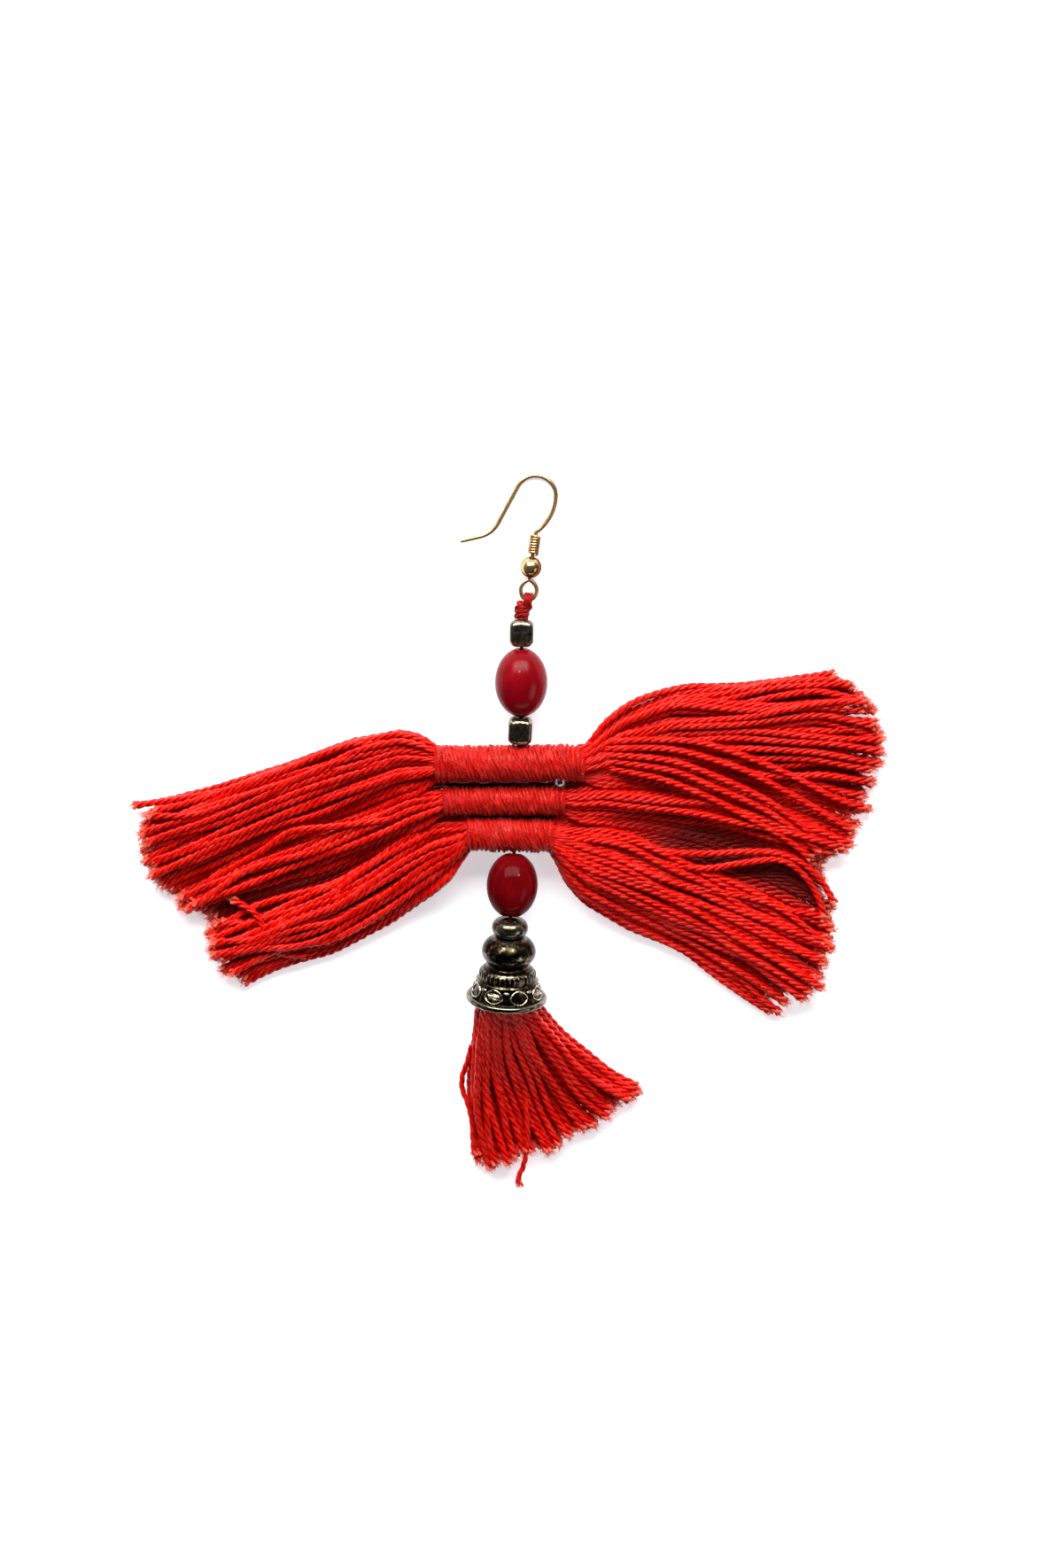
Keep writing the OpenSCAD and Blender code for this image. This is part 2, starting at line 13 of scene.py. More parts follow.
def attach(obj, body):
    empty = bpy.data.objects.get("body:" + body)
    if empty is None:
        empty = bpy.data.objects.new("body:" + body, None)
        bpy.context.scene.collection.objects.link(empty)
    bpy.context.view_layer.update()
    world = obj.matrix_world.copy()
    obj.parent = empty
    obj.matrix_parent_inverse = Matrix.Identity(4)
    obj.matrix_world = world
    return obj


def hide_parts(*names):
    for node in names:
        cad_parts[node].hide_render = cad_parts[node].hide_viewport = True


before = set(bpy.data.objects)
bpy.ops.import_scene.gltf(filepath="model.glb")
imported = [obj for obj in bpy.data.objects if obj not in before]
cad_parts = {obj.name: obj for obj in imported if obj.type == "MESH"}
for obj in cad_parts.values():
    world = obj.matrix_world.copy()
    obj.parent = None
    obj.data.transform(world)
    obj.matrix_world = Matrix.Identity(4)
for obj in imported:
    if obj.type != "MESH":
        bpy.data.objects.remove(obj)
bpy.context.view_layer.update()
MM = 0.001

# Sizes of the earring's pieces, the same as in the part's source
WIRE_D, ARCH_RADIUS, RISE_RADIUS = 0.65, 3.0, 7.0
FRONT_LEG, TAIL_BEND, TAIL_LEN = 6.2, 4.2, 3.0
COIL_D, COIL_WIRE, COIL_TURNS, BALL_D, LOOP_RADIUS = 1.7, 0.5, 7, 3.15, 1.2
THREAD_D, KNOT_DOWN, KNOT_LEN, KNOT_W = 0.8, 0.9, 1.9, 2.5
CUBE_W, CUBE_LEN = 3.6, 4.1
OVAL_UPPER_W, OVAL_UPPER_LEN, OVAL_LOWER_W, OVAL_LOWER_LEN = 7.9, 10.1, 7.7, 9.5
SPACER_D, SPACER_LEN = 5.5, 2.3
WRAP_TOP, WRAP_MIDDLE, WRAP_BOTTOM = (22.4, 5.7), (18.4, 4.5), (13.1, 5.3)
WINDING, WOUND_LAYER = 0.6, 0.6
REACH_LEFT, REACH_RIGHT = 56.5, 55.2
CAP_LEN, CAP_RIM_D, TASSEL_LEN = 10.4, 12.2, 28.4
GAP = 0.12
# Gaps from the upper oval bead down to the lower one
AFTER_OVAL, AFTER_CUBE, AFTER_TOP, AFTER_MIDDLE, AFTER_BOTTOM = 0.1, 0.3, 0.7, 0.35, 0.15


def sin(degrees):
    return math.sin(math.radians(degrees))


def cos(degrees):
    return math.cos(math.radians(degrees))


def arc_end(point, heading, sweep, radius):
    """Where a bend ends. A sweep below zero bends to the right."""
    sign = 1 if sweep > 0 else -1
    return (point[0] + sign * radius * (sin(heading + sweep) - sin(heading)),
            point[1] + sign * radius * (cos(heading) - cos(heading + sweep)))


# Hook path in its own plane, and how the hook lies
HEADING_OUT, HEADING_LEG, HEADING_TAIL, SHANK_LEAN = 38, 245, 196, 5
LOOP_APEX = LOOP_RADIUS * 2.55
BALL_UP = LOOP_APEX + BALL_D / 2 + 0.35
COIL_LEN = COIL_TURNS * (COIL_WIRE - 0.03)
COIL_UP = BALL_UP + BALL_D / 2 + 0.2
SHANK_LEN = COIL_UP + COIL_LEN - LOOP_APEX + 0.25
HOOK_A = (SHANK_LEN * sin(SHANK_LEAN), LOOP_APEX + SHANK_LEN * cos(SHANK_LEAN))
HOOK_B = arc_end(HOOK_A, HEADING_OUT, 90 - HEADING_OUT, RISE_RADIUS)
HOOK_C = arc_end(HOOK_B, 90, HEADING_LEG - 90, ARCH_RADIUS)
HOOK_D = (HOOK_C[0] + FRONT_LEG * cos(HEADING_LEG), HOOK_C[1] + FRONT_LEG * sin(HEADING_LEG))
HOOK_E = arc_end(HOOK_D, HEADING_LEG, HEADING_TAIL - HEADING_LEG, TAIL_BEND)
HOOK_TOP = HOOK_B[1] + ARCH_RADIUS
HOOK_PITCH = math.degrees(math.asin((BALL_D - WIRE_D) / 2 / (HOOK_TOP - BALL_UP)))
LOOP_Z = BALL_D / 2 + BALL_UP * sin(HOOK_PITCH)

# Heights and slopes of the thread's runs
OVAL_PITCH, CAP_PITCH, UPPER_LEAN, BEND_GAP = 5, 5, 2.5, 0.45
RIM_Z = CAP_RIM_D / 2 * cos(CAP_PITCH) + 0.02
OVAL_UPPER_Z = OVAL_UPPER_W / 2 + 0.03
LEVEL = OVAL_UPPER_Z + OVAL_UPPER_LEN / 2 * sin(OVAL_PITCH)
CUBE_RUN = KNOT_DOWN + KNOT_LEN + CUBE_LEN + 3.5 * GAP
CUBE_PITCH = math.degrees(math.asin(
    (OVAL_UPPER_Z - OVAL_UPPER_LEN / 2 * sin(OVAL_PITCH) - LOOP_Z) / CUBE_RUN))

# Distances down the thread from the foot of the hook's loop, seen from above
Y_OVAL_TOP = CUBE_RUN * cos(CUBE_PITCH)
Y_OVAL_END = Y_OVAL_TOP + (OVAL_UPPER_LEN + GAP) * cos(OVAL_PITCH)
Y_CUBE_LOWER = Y_OVAL_END + AFTER_OVAL
Y_WRAP_TOP = Y_CUBE_LOWER + CUBE_LEN + AFTER_CUBE + WRAP_TOP[1] / 2
Y_WRAP_MIDDLE = Y_WRAP_TOP + (WRAP_TOP[1] + WRAP_MIDDLE[1]) / 2 + AFTER_TOP
Y_WRAP_BOTTOM = Y_WRAP_MIDDLE + (WRAP_MIDDLE[1] + WRAP_BOTTOM[1]) / 2 + AFTER_MIDDLE
STACK = Y_WRAP_BOTTOM - Y_WRAP_TOP
Y_OVAL_LOWER = Y_WRAP_BOTTOM + WRAP_BOTTOM[1] / 2 + AFTER_BOTTOM
CAP_END_Z = RIM_Z + (CAP_LEN + SPACER_LEN + 3 * GAP) * sin(CAP_PITCH)
LOWER_RUN = OVAL_LOWER_LEN + GAP + BEND_GAP
LOWER_PITCH = math.degrees(math.asin((CAP_END_Z - LEVEL) / LOWER_RUN))
Y_SPACER = Y_OVAL_LOWER + LOWER_RUN * cos(LOWER_PITCH)
Y_MOUTH = Y_SPACER + (SPACER_LEN + CAP_LEN + 2 * GAP) * cos(CAP_PITCH)
TOTAL_LEN = HOOK_TOP * cos(HOOK_PITCH) + WIRE_D / 2 + Y_MOUTH + TASSEL_LEN
Y_FOOT = TOTAL_LEN / 2 - HOOK_TOP * cos(HOOK_PITCH) - WIRE_D / 2
X_THREAD = (REACH_LEFT - REACH_RIGHT) / 2
HOOK_X = X_THREAD + 0.15


def shift(x, y, z):
    return Matrix.Translation((x, y, z))


def turn(axis, degrees):
    return Matrix.Rotation(math.radians(degrees), 4, axis)


IN_HOOK = shift(HOOK_X, Y_FOOT, LOOP_Z) @ turn("X", -HOOK_PITCH)
LEANING = (shift(X_THREAD, Y_FOOT - Y_OVAL_END, 0) @ turn("Z", UPPER_LEAN)
           @ shift(0, Y_OVAL_END, 0))
ON_OVAL_UPPER = (LEANING @ shift(0, -Y_OVAL_TOP - OVAL_UPPER_LEN / 2 * cos(OVAL_PITCH),
                                 OVAL_UPPER_Z) @ turn("X", 90 - OVAL_PITCH))


def on_shank(up):
    return (IN_HOOK @ shift(0, LOOP_APEX, 0) @ turn("Z", -SHANK_LEAN)
            @ shift(0, up - LOOP_APEX, 0) @ turn("X", -90))


def on_cube_run(down):
    return (LEANING @ shift(0, -down * cos(CUBE_PITCH), LOOP_Z + down * sin(CUBE_PITCH))
            @ turn("X", 90 - CUBE_PITCH))


def on_level(down):
    return shift(X_THREAD, Y_FOOT - down, LEVEL) @ turn("X", 90)


def on_lower_run(down):
    return (shift(X_THREAD, Y_FOOT - Y_OVAL_LOWER - down * cos(LOWER_PITCH),
                  LEVEL + down * sin(LOWER_PITCH)) @ turn("X", 90 - LOWER_PITCH))


def on_cap_run(down):
    return (shift(X_THREAD, Y_FOOT - Y_SPACER - down * cos(CAP_PITCH),
                  CAP_END_Z - down * sin(CAP_PITCH)) @ turn("X", 90 + CAP_PITCH))


# Node helpers

def fill(node, inputs):
    """Fills or links a node's inputs by name or number. A colour may leave out its alpha."""
    for key, value in inputs.items():
        socket = node.inputs[key]
        if isinstance(value, bpy.types.NodeSocket):
            node.id_data.links.new(value, socket)
        elif socket.type == "RGBA" and len(value) == 3:
            socket.default_value = (*value, 1.0)
        else:
            socket.default_value = value
    return node


def add(kind, inputs=None, tree=None, **options):
    """Adds a node, sets its options and fills its inputs. It goes into the tree that its inputs
    are linked from, unless a tree is given."""
    inputs = inputs or {}
    if tree is None:
        tree = next(v for v in inputs.values() if isinstance(v, bpy.types.NodeSocket)).id_data
    node = tree.nodes.new(kind)
    for option, value in options.items():
        setattr(node, option, value)
    return fill(node, inputs)


def put(kind, inputs=None, output=0, **options):
    """Adds a node and gives its first output, or the one asked for."""
    return add(kind, inputs, **options).outputs[output]


def calc(operation, *values):
    """A Math node's output."""
    return put("ShaderNodeMath", dict(enumerate(values)), operation=operation)


def plus(first, second):
    return calc("ADD", first, second)


def minus(first, second):
    return calc("SUBTRACT", first, second)


def times(first, second):
    return calc("MULTIPLY", first, second)


def vector_of(operation, *vectors, scale=1.0):
    """A Vector Math node's output."""
    inputs = {**dict(enumerate(vectors)), 3: scale}
    output = "Value" if operation == "DOT_PRODUCT" else "Vector"
    return put("ShaderNodeVectorMath", inputs, output, operation=operation)


def wobble(scale, detail, amount):
    """A random shift that changes from place to place."""
    noise = put("ShaderNodeTexNoise", {"Scale": scale, "Detail": detail}, "Color",
                tree=amount.id_data)
    centred = vector_of("SUBTRACT", noise, (0.5, 0.5, 0.5))
    return vector_of("SCALE", centred, scale=amount)


def shape_tree(name, sockets):
    """An empty Geometry Nodes tree with a geometry input, named inputs and a geometry output."""
    tree = bpy.data.node_groups.new(name, "GeometryNodeTree")
    face = tree.interface
    face.new_socket("Geometry", in_out="INPUT", socket_type="NodeSocketGeometry")
    for label, kind, value in sockets:
        socket = face.new_socket(label, in_out="INPUT", socket_type="NodeSocket" + kind)
        if value is not None:
            socket.default_value = value
    face.new_socket("Geometry", in_out="OUTPUT", socket_type="NodeSocketGeometry")
    return tree, tree.nodes.new("NodeGroupInput").outputs, tree.nodes.new("NodeGroupOutput")


def named(tree, name):
    """Reads a value that the geometry carries."""
    return put("GeometryNodeInputNamedAttribute", {"Name": name}, "Attribute", tree=tree,
               data_type="FLOAT")


def stored(geometry, name, value, kind="FLOAT"):
    """Keeps a value on the points under a name that materials can read."""
    return put("GeometryNodeStoreNamedAttribute",
               {"Geometry": geometry, "Name": name, "Value": value},
               data_type=kind, domain="POINT")


def ring(sides, radius):
    """The round section of a ply, a fibre or a wire."""
    return put("GeometryNodeCurvePrimitiveCircle", {"Resolution": sides, "Radius": radius})


def tube(curves, section, thick):
    """A section swept along curves, scaled by their thickness and closed at the ends."""
    return put("GeometryNodeCurveToMesh", {
        "Curve": curves, "Profile Curve": section, "Scale": thick, "Fill Caps": True})


def together(*shapes):
    node = add("GeometryNodeJoinGeometry", tree=shapes[0].id_data)
    for shape in shapes:
        fill(node, {0: shape})
    return node.outputs[0]


def closed_off(geometry, finish, out):
    """Ends a tree: real geometry, smooth faces and its material."""
    real = put("GeometryNodeRealizeInstances", {"Geometry": geometry})
    soft = put("GeometryNodeSetShadeSmooth", {"Geometry": real})
    clad = put("GeometryNodeSetMaterial", {"Geometry": soft, "Material": finish})
    return fill(out, {0: clad}).id_data


# Trees

PLY_SIZES = [("Plies", "Int", 3), ("Ply radius", "Float", 0.29 * MM),
             ("Ply distance", "Float", 0.30 * MM), ("Twist length", "Float", 4.2 * MM),
             ("Step", "Float", 0.68 * MM), ("Ply sides", "Int", 5), ("Slub", "Float", 0.05 * MM)]


def twisted_thread_group():
    """Turns each curve into a thread of plies laid in an S twist, with the run and the side of
    each ply kept for the material."""
    tree, given, out = shape_tree("Twisted thread", PLY_SIZES)
    smooth = put("GeometryNodeCurveSplineType", {"Curve": given["Geometry"]},
                 spline_type="CATMULL_ROM")
    even = put("GeometryNodeResampleCurve", {"Curve": smooth, "Length": given["Step"]},
               mode="LENGTH")
    copies = add("GeometryNodeDuplicateElements",
                 {"Geometry": even, "Amount": given["Plies"]}, domain="SPLINE")
    run = put("GeometryNodeSplineParameter", output="Length", tree=tree)
    ply = calc("DIVIDE", copies.outputs[1], given["Plies"])
    turns = plus(calc("DIVIDE", run, given["Twist length"]), plus(named(tree, "phase"), ply))
    angle = times(turns, -math.tau)
    normal = put("GeometryNodeInputNormal", output="Normal", tree=tree)
    side = vector_of("CROSS_PRODUCT", put("GeometryNodeInputTangent", tree=tree), normal)
    outwards = vector_of("ADD", vector_of("SCALE", normal, scale=calc("COSINE", angle)),
                         vector_of("SCALE", side, scale=calc("SINE", angle)))
    thick = named(tree, "thick")
    opened = calc("MULTIPLY_ADD", named(tree, "fray"), 0.9, 1.0)
    distance = times(times(given["Ply distance"], thick), opened)
    offset = vector_of("ADD", vector_of("SCALE", outwards, scale=distance),
                       wobble(1100.0, 1.0, given["Slub"]))
    placed = put("GeometryNodeSetPosition", {"Geometry": copies.outputs[0], "Offset": offset})
    ran = stored(placed, "ply_run", times(run, 1 / MM))
    sideways = vector_of("NORMALIZE", put("GeometryNodeInputPosition", tree=tree))
    section = stored(ring(given["Ply sides"], given["Ply radius"]), "ply_side",
                     sideways, "FLOAT_VECTOR")
    return fill(out, {0: tube(ran, section, thick)}).id_data


def spun(plied, curves, given):
    """Plied thread along curves, with the tree's own thread sizes passed on."""
    sizes = {label: given[label] for label, _, _ in PLY_SIZES}
    return put("GeometryNodeGroup", {"Geometry": curves, **sizes}, node_tree=plied)


def thread_tree(plied):
    """Threads from edge chains: chains marked as hairs become single fibres, the others are
    plied."""
    tree, given, out = shape_tree("Threads", PLY_SIZES + [
        ("Fibre radius", "Float", 0.035 * MM), ("Finish", "Material", None)])
    curves = put("GeometryNodeMeshToCurve", {"Mesh": given["Geometry"]})
    is_hair = calc("GREATER_THAN", named(tree, "hair"), 0.5)
    parted = add("GeometryNodeSeparateGeometry",
                 {"Geometry": curves, "Selection": is_hair}, domain="POINT").outputs
    fibres = tube(parted["Selection"], ring(3, given["Fibre radius"]), named(tree, "thick"))
    yarn = spun(plied, parted["Inverted"], given)
    return closed_off(together(fibres, yarn), given["Finish"], out)


def winding_tree(plied):
    """Turns of thread wound slantwise round a sleeve, along X and centred on the origin."""
    tree, given, out = shape_tree("Wound turns", PLY_SIZES + [
        ("Length", "Float", 0.02), ("Diameter", "Float", 0.005), ("Spacing", "Float", 0.0006),
        ("Slant", "Float", 0.25), ("Unevenness", "Float", 0.0001), ("Finish", "Material", None)])
    thread_r = plus(given["Ply radius"], given["Ply distance"])
    middle_r = minus(times(given["Diameter"], 0.5), thread_r)
    wound = minus(given["Length"], times(thread_r, 2.0))
    coil = put("GeometryNodeCurveSpiral", {
        "Resolution": 28, "Start Radius": middle_r, "End Radius": middle_r, "Height": wound,
        "Rotations": calc("DIVIDE", wound, given["Spacing"])})
    low = put("ShaderNodeCombineXYZ", {"Z": times(wound, -0.5)})
    centred = put("GeometryNodeTransform", {"Geometry": coil, "Translation": low})
    along_x = (0.0, math.pi / 2, 0.0)
    lying = put("GeometryNodeTransform", {"Geometry": centred, "Rotation": along_x})
    place = add("ShaderNodeSeparateXYZ",
                {"Vector": put("GeometryNodeInputPosition", tree=tree)}).outputs
    along = calc("DIVIDE", times(place["X"], 2.0), wound)
    ends = minus(1.0, calc("POWER", along, 8.0))
    lean = times(times(place["Y"], given["Slant"]), times(ends, -1.0))
    offset = vector_of("ADD", wobble(650.0, 2.0, given["Unevenness"]),
                       put("ShaderNodeCombineXYZ", {"X": lean}))
    laid = put("GeometryNodeSetPosition", {"Geometry": lying, "Offset": offset})
    shades = put("ShaderNodeTexNoise", {"Scale": 1300.0, "Detail": 1.0}, "Fac", tree=tree)
    laid = stored(laid, "dye", calc("MULTIPLY_ADD", shades, 3.0, -1.1))
    laid = stored(laid, "thick", 1.0)
    yarn = spun(plied, laid, given)
    sleeve_r = minus(middle_r, times(thread_r, 0.7))
    sleeve = put("GeometryNodeMeshCylinder",
                 {"Vertices": 40, "Depth": given["Length"], "Radius": sleeve_r})
    sleeve = put("GeometryNodeTransform", {"Geometry": sleeve, "Rotation": along_x})
    return closed_off(together(sleeve, yarn), given["Finish"], out)


def wire_tree():
    """Round wire along edge chains, thinned where the chain's thickness says."""
    tree, given, out = shape_tree("Round wire", [
        ("Wire radius", "Float", 0.3 * MM), ("Wire sides", "Int", 20),
        ("Finish", "Material", None)])
    curves = put("GeometryNodeMeshToCurve", {"Mesh": given["Geometry"]})
    section = ring(given["Wire sides"], given["Wire radius"])
    return closed_off(tube(curves, section, named(tree, "thick")), given["Finish"], out)


def ring_tree():
    """Copies of one shape set evenly round the Z axis."""
    tree, given, out = shape_tree("Set around", [
        ("Copies", "Int", 8), ("First angle", "Float", 0.0), ("Finish", "Material", None)])
    points = put("GeometryNodePoints", {"Count": given["Copies"]})
    step = calc("DIVIDE", math.tau, given["Copies"])
    index = put("GeometryNodeInputIndex", tree=tree)
    angle = calc("MULTIPLY_ADD", index, step, given["First angle"])
    spin = put("ShaderNodeCombineXYZ", {"Z": angle})
    copies = put("GeometryNodeInstanceOnPoints",
                 {"Points": points, "Instance": given["Geometry"], "Rotation": spin})
    return closed_off(copies, given["Finish"], out)


plied = twisted_thread_group()
threads = thread_tree(plied)
windings = winding_tree(plied)
wires = wire_tree()
around = ring_tree()


# Pieces

# A thread, fibre or wire. All but points and closed may be one number or one for each point
Course = namedtuple("Course", "points thick fray phase hair dye closed",
                    defaults=(1.0, 0.0, 0.0, 0.0, 0.0, False))


def shown(name, mesh):
    """A mesh as an object of the scene, standing at the origin."""
    made = bpy.data.objects.new(name, mesh)
    bpy.context.scene.collection.objects.link(made)
    return made


def in_metres(place):
    """A placing in millimetres, for a mesh in metres."""
    return Matrix.Scale(MM, 4) @ place @ Matrix.Scale(1 / MM, 4)


def worked(made, tree, place=None, **values):
    """Runs a tree on an object, with its inputs set by identifier, and leaves the plain mesh."""
    step = made.modifiers.new(tree.name, "NODES")
    step.node_group = tree
    for item in tree.interface.items_tree:
        key = item.name.lower().replace(" ", "_")
        if item.in_out == "INPUT" and key in values:
            step[item.identifier] = values[key]
    seen = made.evaluated_get(bpy.context.evaluated_depsgraph_get())
    mesh = bpy.data.meshes.new_from_object(seen)
    made.modifiers.remove(step)
    made.data = mesh
    if place is not None:
        mesh.transform(in_metres(place))
    mesh.update()
    return made


def settle(made, slot, *nodes):
    """The piece stands for its CAD nodes, which it hides, and lies with the earring; slot is not
    used.
    """
    if nodes:
        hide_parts(*nodes)
    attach(made, "root")
    return made


def chains(courses):
    """A mesh of edge chains, one for each course, with its values on the points."""
    mesh = bpy.data.meshes.new("courses")
    places, edges = [], []
    kept = {key: [] for key in ("thick", "fray", "phase", "hair", "dye")}
    for course in courses:
        first, count = len(places), len(course.points)
        places.extend(np.asarray(course.points) * MM)
        edges.extend((first + k, first + k + 1) for k in range(count - 1))
        if course.closed:
            edges.append((first + count - 1, first))
        for key, values in kept.items():
            values.extend(np.broadcast_to(getattr(course, key), count))
    mesh.from_pydata(places, edges, [])
    for key, values in kept.items():
        mesh.attributes.new(key, "FLOAT", "POINT").data.foreach_set("value", values)
    return mesh


def strung(name, courses, tree, finish, slot, *nodes, **sizes):
    """A piece of threads or wires along its courses."""
    made = worked(shown(name, chains(courses)), tree, finish=finish, **sizes)
    return settle(made, slot, *nodes)


def between(before, a, b, after, t):
    """The place at a share of the way from a to b on a Catmull-Rom curve."""
    return 0.5 * (2 * a + (b - before) * t + (2 * before - 5 * a + 4 * b - after) * t * t
                  + (3 * a - before - 3 * b + after) * t ** 3)


# Finishes

def finish(name, build):
    """A material with one Principled shader, whose inputs come from build."""
    material = bpy.data.materials.new(name)
    material.use_nodes = True
    tree = material.node_tree
    tree.nodes.clear()
    shader = add("ShaderNodeBsdfPrincipled", tree=tree)
    add("ShaderNodeOutputMaterial", {"Surface": shader.outputs[0]})
    fill(shader, build(tree))
    return material


def kept_value(tree, name, part="Fac"):
    return put("ShaderNodeAttribute", output=part, tree=tree, attribute_name=name)


def graded(value, *stops):
    """Colour by value: stops are (place, colour)."""
    node = add("ShaderNodeValToRGB", {"Fac": value})
    ramp = node.color_ramp
    while len(ramp.elements) < len(stops):
        ramp.elements.new(0.5)
    for element, (place, colour) in zip(ramp.elements, stops):
        element.position = place
        element.color = (*colour, 1.0)
    return node.outputs["Color"]


def mixed(share, first, second):
    return put("ShaderNodeMix", {"Factor": share, 6: first, 7: second}, 2, data_type="RGBA")


def weighed(first, share, second):
    """The first value by its share, and the second by the rest."""
    return plus(times(first, share), times(second, 1 - share))


def fit_range(value, low, high, to_low=0.0, to_high=1.0):
    return put("ShaderNodeMapRange", {"Value": value, "From Min": low, "From Max": high,
                                      "To Min": to_low, "To Max": to_high})


def cloud(tree, scale, detail=3.0, vector=None, rough=0.5):
    """Noise in turns per millimetre."""
    if vector is None:
        place = put("ShaderNodeTexCoord", output="Object", tree=tree)
        vector = vector_of("SCALE", place, scale=1 / MM)
    return put("ShaderNodeTexNoise", {"Vector": vector, "Scale": scale, "Detail": detail,
                                      "Roughness": rough}, "Fac")


def raised(height, depth, strength):
    """A bump, as deep as so many millimetres."""
    return put("ShaderNodeBump", {"Height": height, "Distance": depth * MM, "Strength": strength})


def ply_fibres(tree, turns):
    """Fine fibres that run along a ply with a slight twist of their own."""
    run = kept_value(tree, "ply_run")
    side = put("ShaderNodeVectorRotate", {
        "Vector": kept_value(tree, "ply_side", "Vector"), "Angle": times(run, turns)},
        rotation_type="Z_AXIS")
    along = put("ShaderNodeCombineXYZ", {"Z": times(run, 0.5)})
    return cloud(tree, 3.2, 3.0, vector_of("ADD", side, along), 0.6)


# Near-black red: painted shade between, under and inside threads, and the darkest random tone of the
# wound turns
SHADE_AND_DARK_DYE_RED = (0.085, 0.0, 0.0)


def cotton(deep, body, bright, pale, rough, sheen):
    """Plied thread: a kept value from 0 to 1 takes it towards its deep colour and from 1 to 1.6
    towards near-black red; the value holds random colour variation and painted shade on lower,
    hollow, hidden and knotted threads.
    """
    def build(tree):
        fibres = ply_fibres(tree, 1.3)
        tone = weighed(fibres, 0.6, cloud(tree, 0.6, 2.0))
        colour = graded(tone, (0.25, deep), (0.5, body), (0.78, bright))
        dye = kept_value(tree, "dye")
        colour = mixed(fit_range(dye, 0.0, 1.0, 0.0, 0.66), colour, deep)
        colour = mixed(fit_range(dye, 1.0, 1.6, 0.0, 0.95), colour, SHADE_AND_DARK_DYE_RED)
        frayed = plus(kept_value(tree, "fray"), times(fibres, 0.3))
        colour = mixed(fit_range(frayed, 0.6, 1.6), colour, pale)
        return {"Base Color": colour, "Roughness": fit_range(dye, 0.9, 1.5, rough, 0.5),
                "Specular IOR Level": 0.28, "Specular Tint": (1.0, 0.52, 0.47),
                "Sheen Weight": sheen, "Sheen Roughness": 0.45, "Sheen Tint": (1.0, 0.45, 0.4),
                "Normal": raised(fibres, 0.05, 0.6)}
    return build


# The light's direction, and the brown of the painted shade on the flank of the wire that faces away
# from it
LIT_WAY, SHADED_FLANK_GOLD = (-0.46, 0.54, 0.71), (0.15, 0.065, 0.020)


def gold(dull, shiny):
    """Plated wire, with painted shade: browner on the flank that faces away from the light."""
    def build(tree):
        tarnish = cloud(tree, 0.9, 4.0)
        colour = graded(tarnish, (0.30, (0.48, 0.27, 0.10)), (0.48, (0.74, 0.49, 0.22)),
                        (0.75, (0.86, 0.66, 0.38)))
        normal = put("ShaderNodeNewGeometry", output="Normal", tree=tree)
        facing = vector_of("DOT_PRODUCT", normal, LIT_WAY)
        flank = fit_range(facing, 0.66, 0.34, 0.0, 0.93)
        return {"Base Color": mixed(flank, colour, SHADED_FLANK_GOLD),
                "Metallic": 0.95, "Specular Tint": (0.20, 0.09, 0.03),
                "Roughness": fit_range(tarnish, 0.3, 0.7, dull, shiny),
                "Normal": raised(cloud(tree, 6.0), 0.01, 0.4)}
    return build


def gunmetal(tree):
    mottle = cloud(tree, 1.6, 5.0, rough=0.65)
    colour = graded(mottle, (0.3, (0.020, 0.018, 0.015)), (0.55, (0.055, 0.050, 0.038)),
                    (0.8, (0.17, 0.155, 0.11)))
    rubbed = times(kept_value(tree, "worn"), fit_range(mottle, 0.35, 0.6))
    return {"Base Color": mixed(rubbed, colour, (0.42, 0.33, 0.22)), "Metallic": 0.9,
            "Roughness": fit_range(mottle, 0.3, 0.7, 0.12, 0.26),
            "Normal": raised(cloud(tree, 2.2), 0.02, 0.25)}


def antique(tree):
    mottle = cloud(tree, 1.3, 5.0, rough=0.65)
    dark = graded(mottle, (0.40, (0.004, 0.003, 0.002)), (0.54, (0.030, 0.023, 0.013)),
                  (0.70, (0.20, 0.15, 0.08)))
    worn = plus(kept_value(tree, "worn"), times(mottle, 0.8))
    rubbed = fit_range(worn, 0.80, 1.45)
    relief = plus(mottle, times(cloud(tree, 5.5), 0.5))
    return {"Base Color": mixed(rubbed, dark, (0.50, 0.45, 0.34)), "Metallic": 1.0,
            "Roughness": fit_range(rubbed, 0.0, 1.0, 0.22, 0.14),
            "Normal": raised(relief, 0.035, 0.5)}


def ruby(deep, body, bright, rough, gloss):
    """Cloudy red with streaks along the bead and a few small bubbles."""
    def build(tree):
        place = put("ShaderNodeTexCoord", output="Object", tree=tree)
        drawn_out = put("ShaderNodeMapping", {"Vector": place, "Scale": (1500, 240, 1500)})
        streaks = cloud(tree, 1.0, 3.0, drawn_out)
        tone = weighed(streaks, 0.35, cloud(tree, 0.3, 4.0))
        colour = graded(tone, (0.20, deep), (0.50, body), (0.85, bright))
        bubbles = put("ShaderNodeTexVoronoi", {"Vector": place, "Scale": 420.0}, "Distance")
        speck = times(fit_range(bubbles, 0.09, 0.05), 0.35)
        return {"Base Color": mixed(speck, colour, (0.6, 0.25, 0.25)),
                "Roughness": rough, "Specular IOR Level": gloss, "Subsurface Weight": 0.3,
                "Subsurface Radius": (1.5 * MM, 0.1 * MM, 0.1 * MM), "Subsurface Scale": 1.0,
                "Coat Weight": 0.02, "Coat Roughness": 0.05,
                "Normal": raised(cloud(tree, 1.5, 2.0), 0.015, 0.3)}
    return build


def nylon(tree):
    return {"Base Color": (0.55, 0.53, 0.50), "Transmission Weight": 0.7, "IOR": 1.53,
            "Roughness": fit_range(cloud(tree, 4.0), 0.3, 0.7, 0.05, 0.2)}


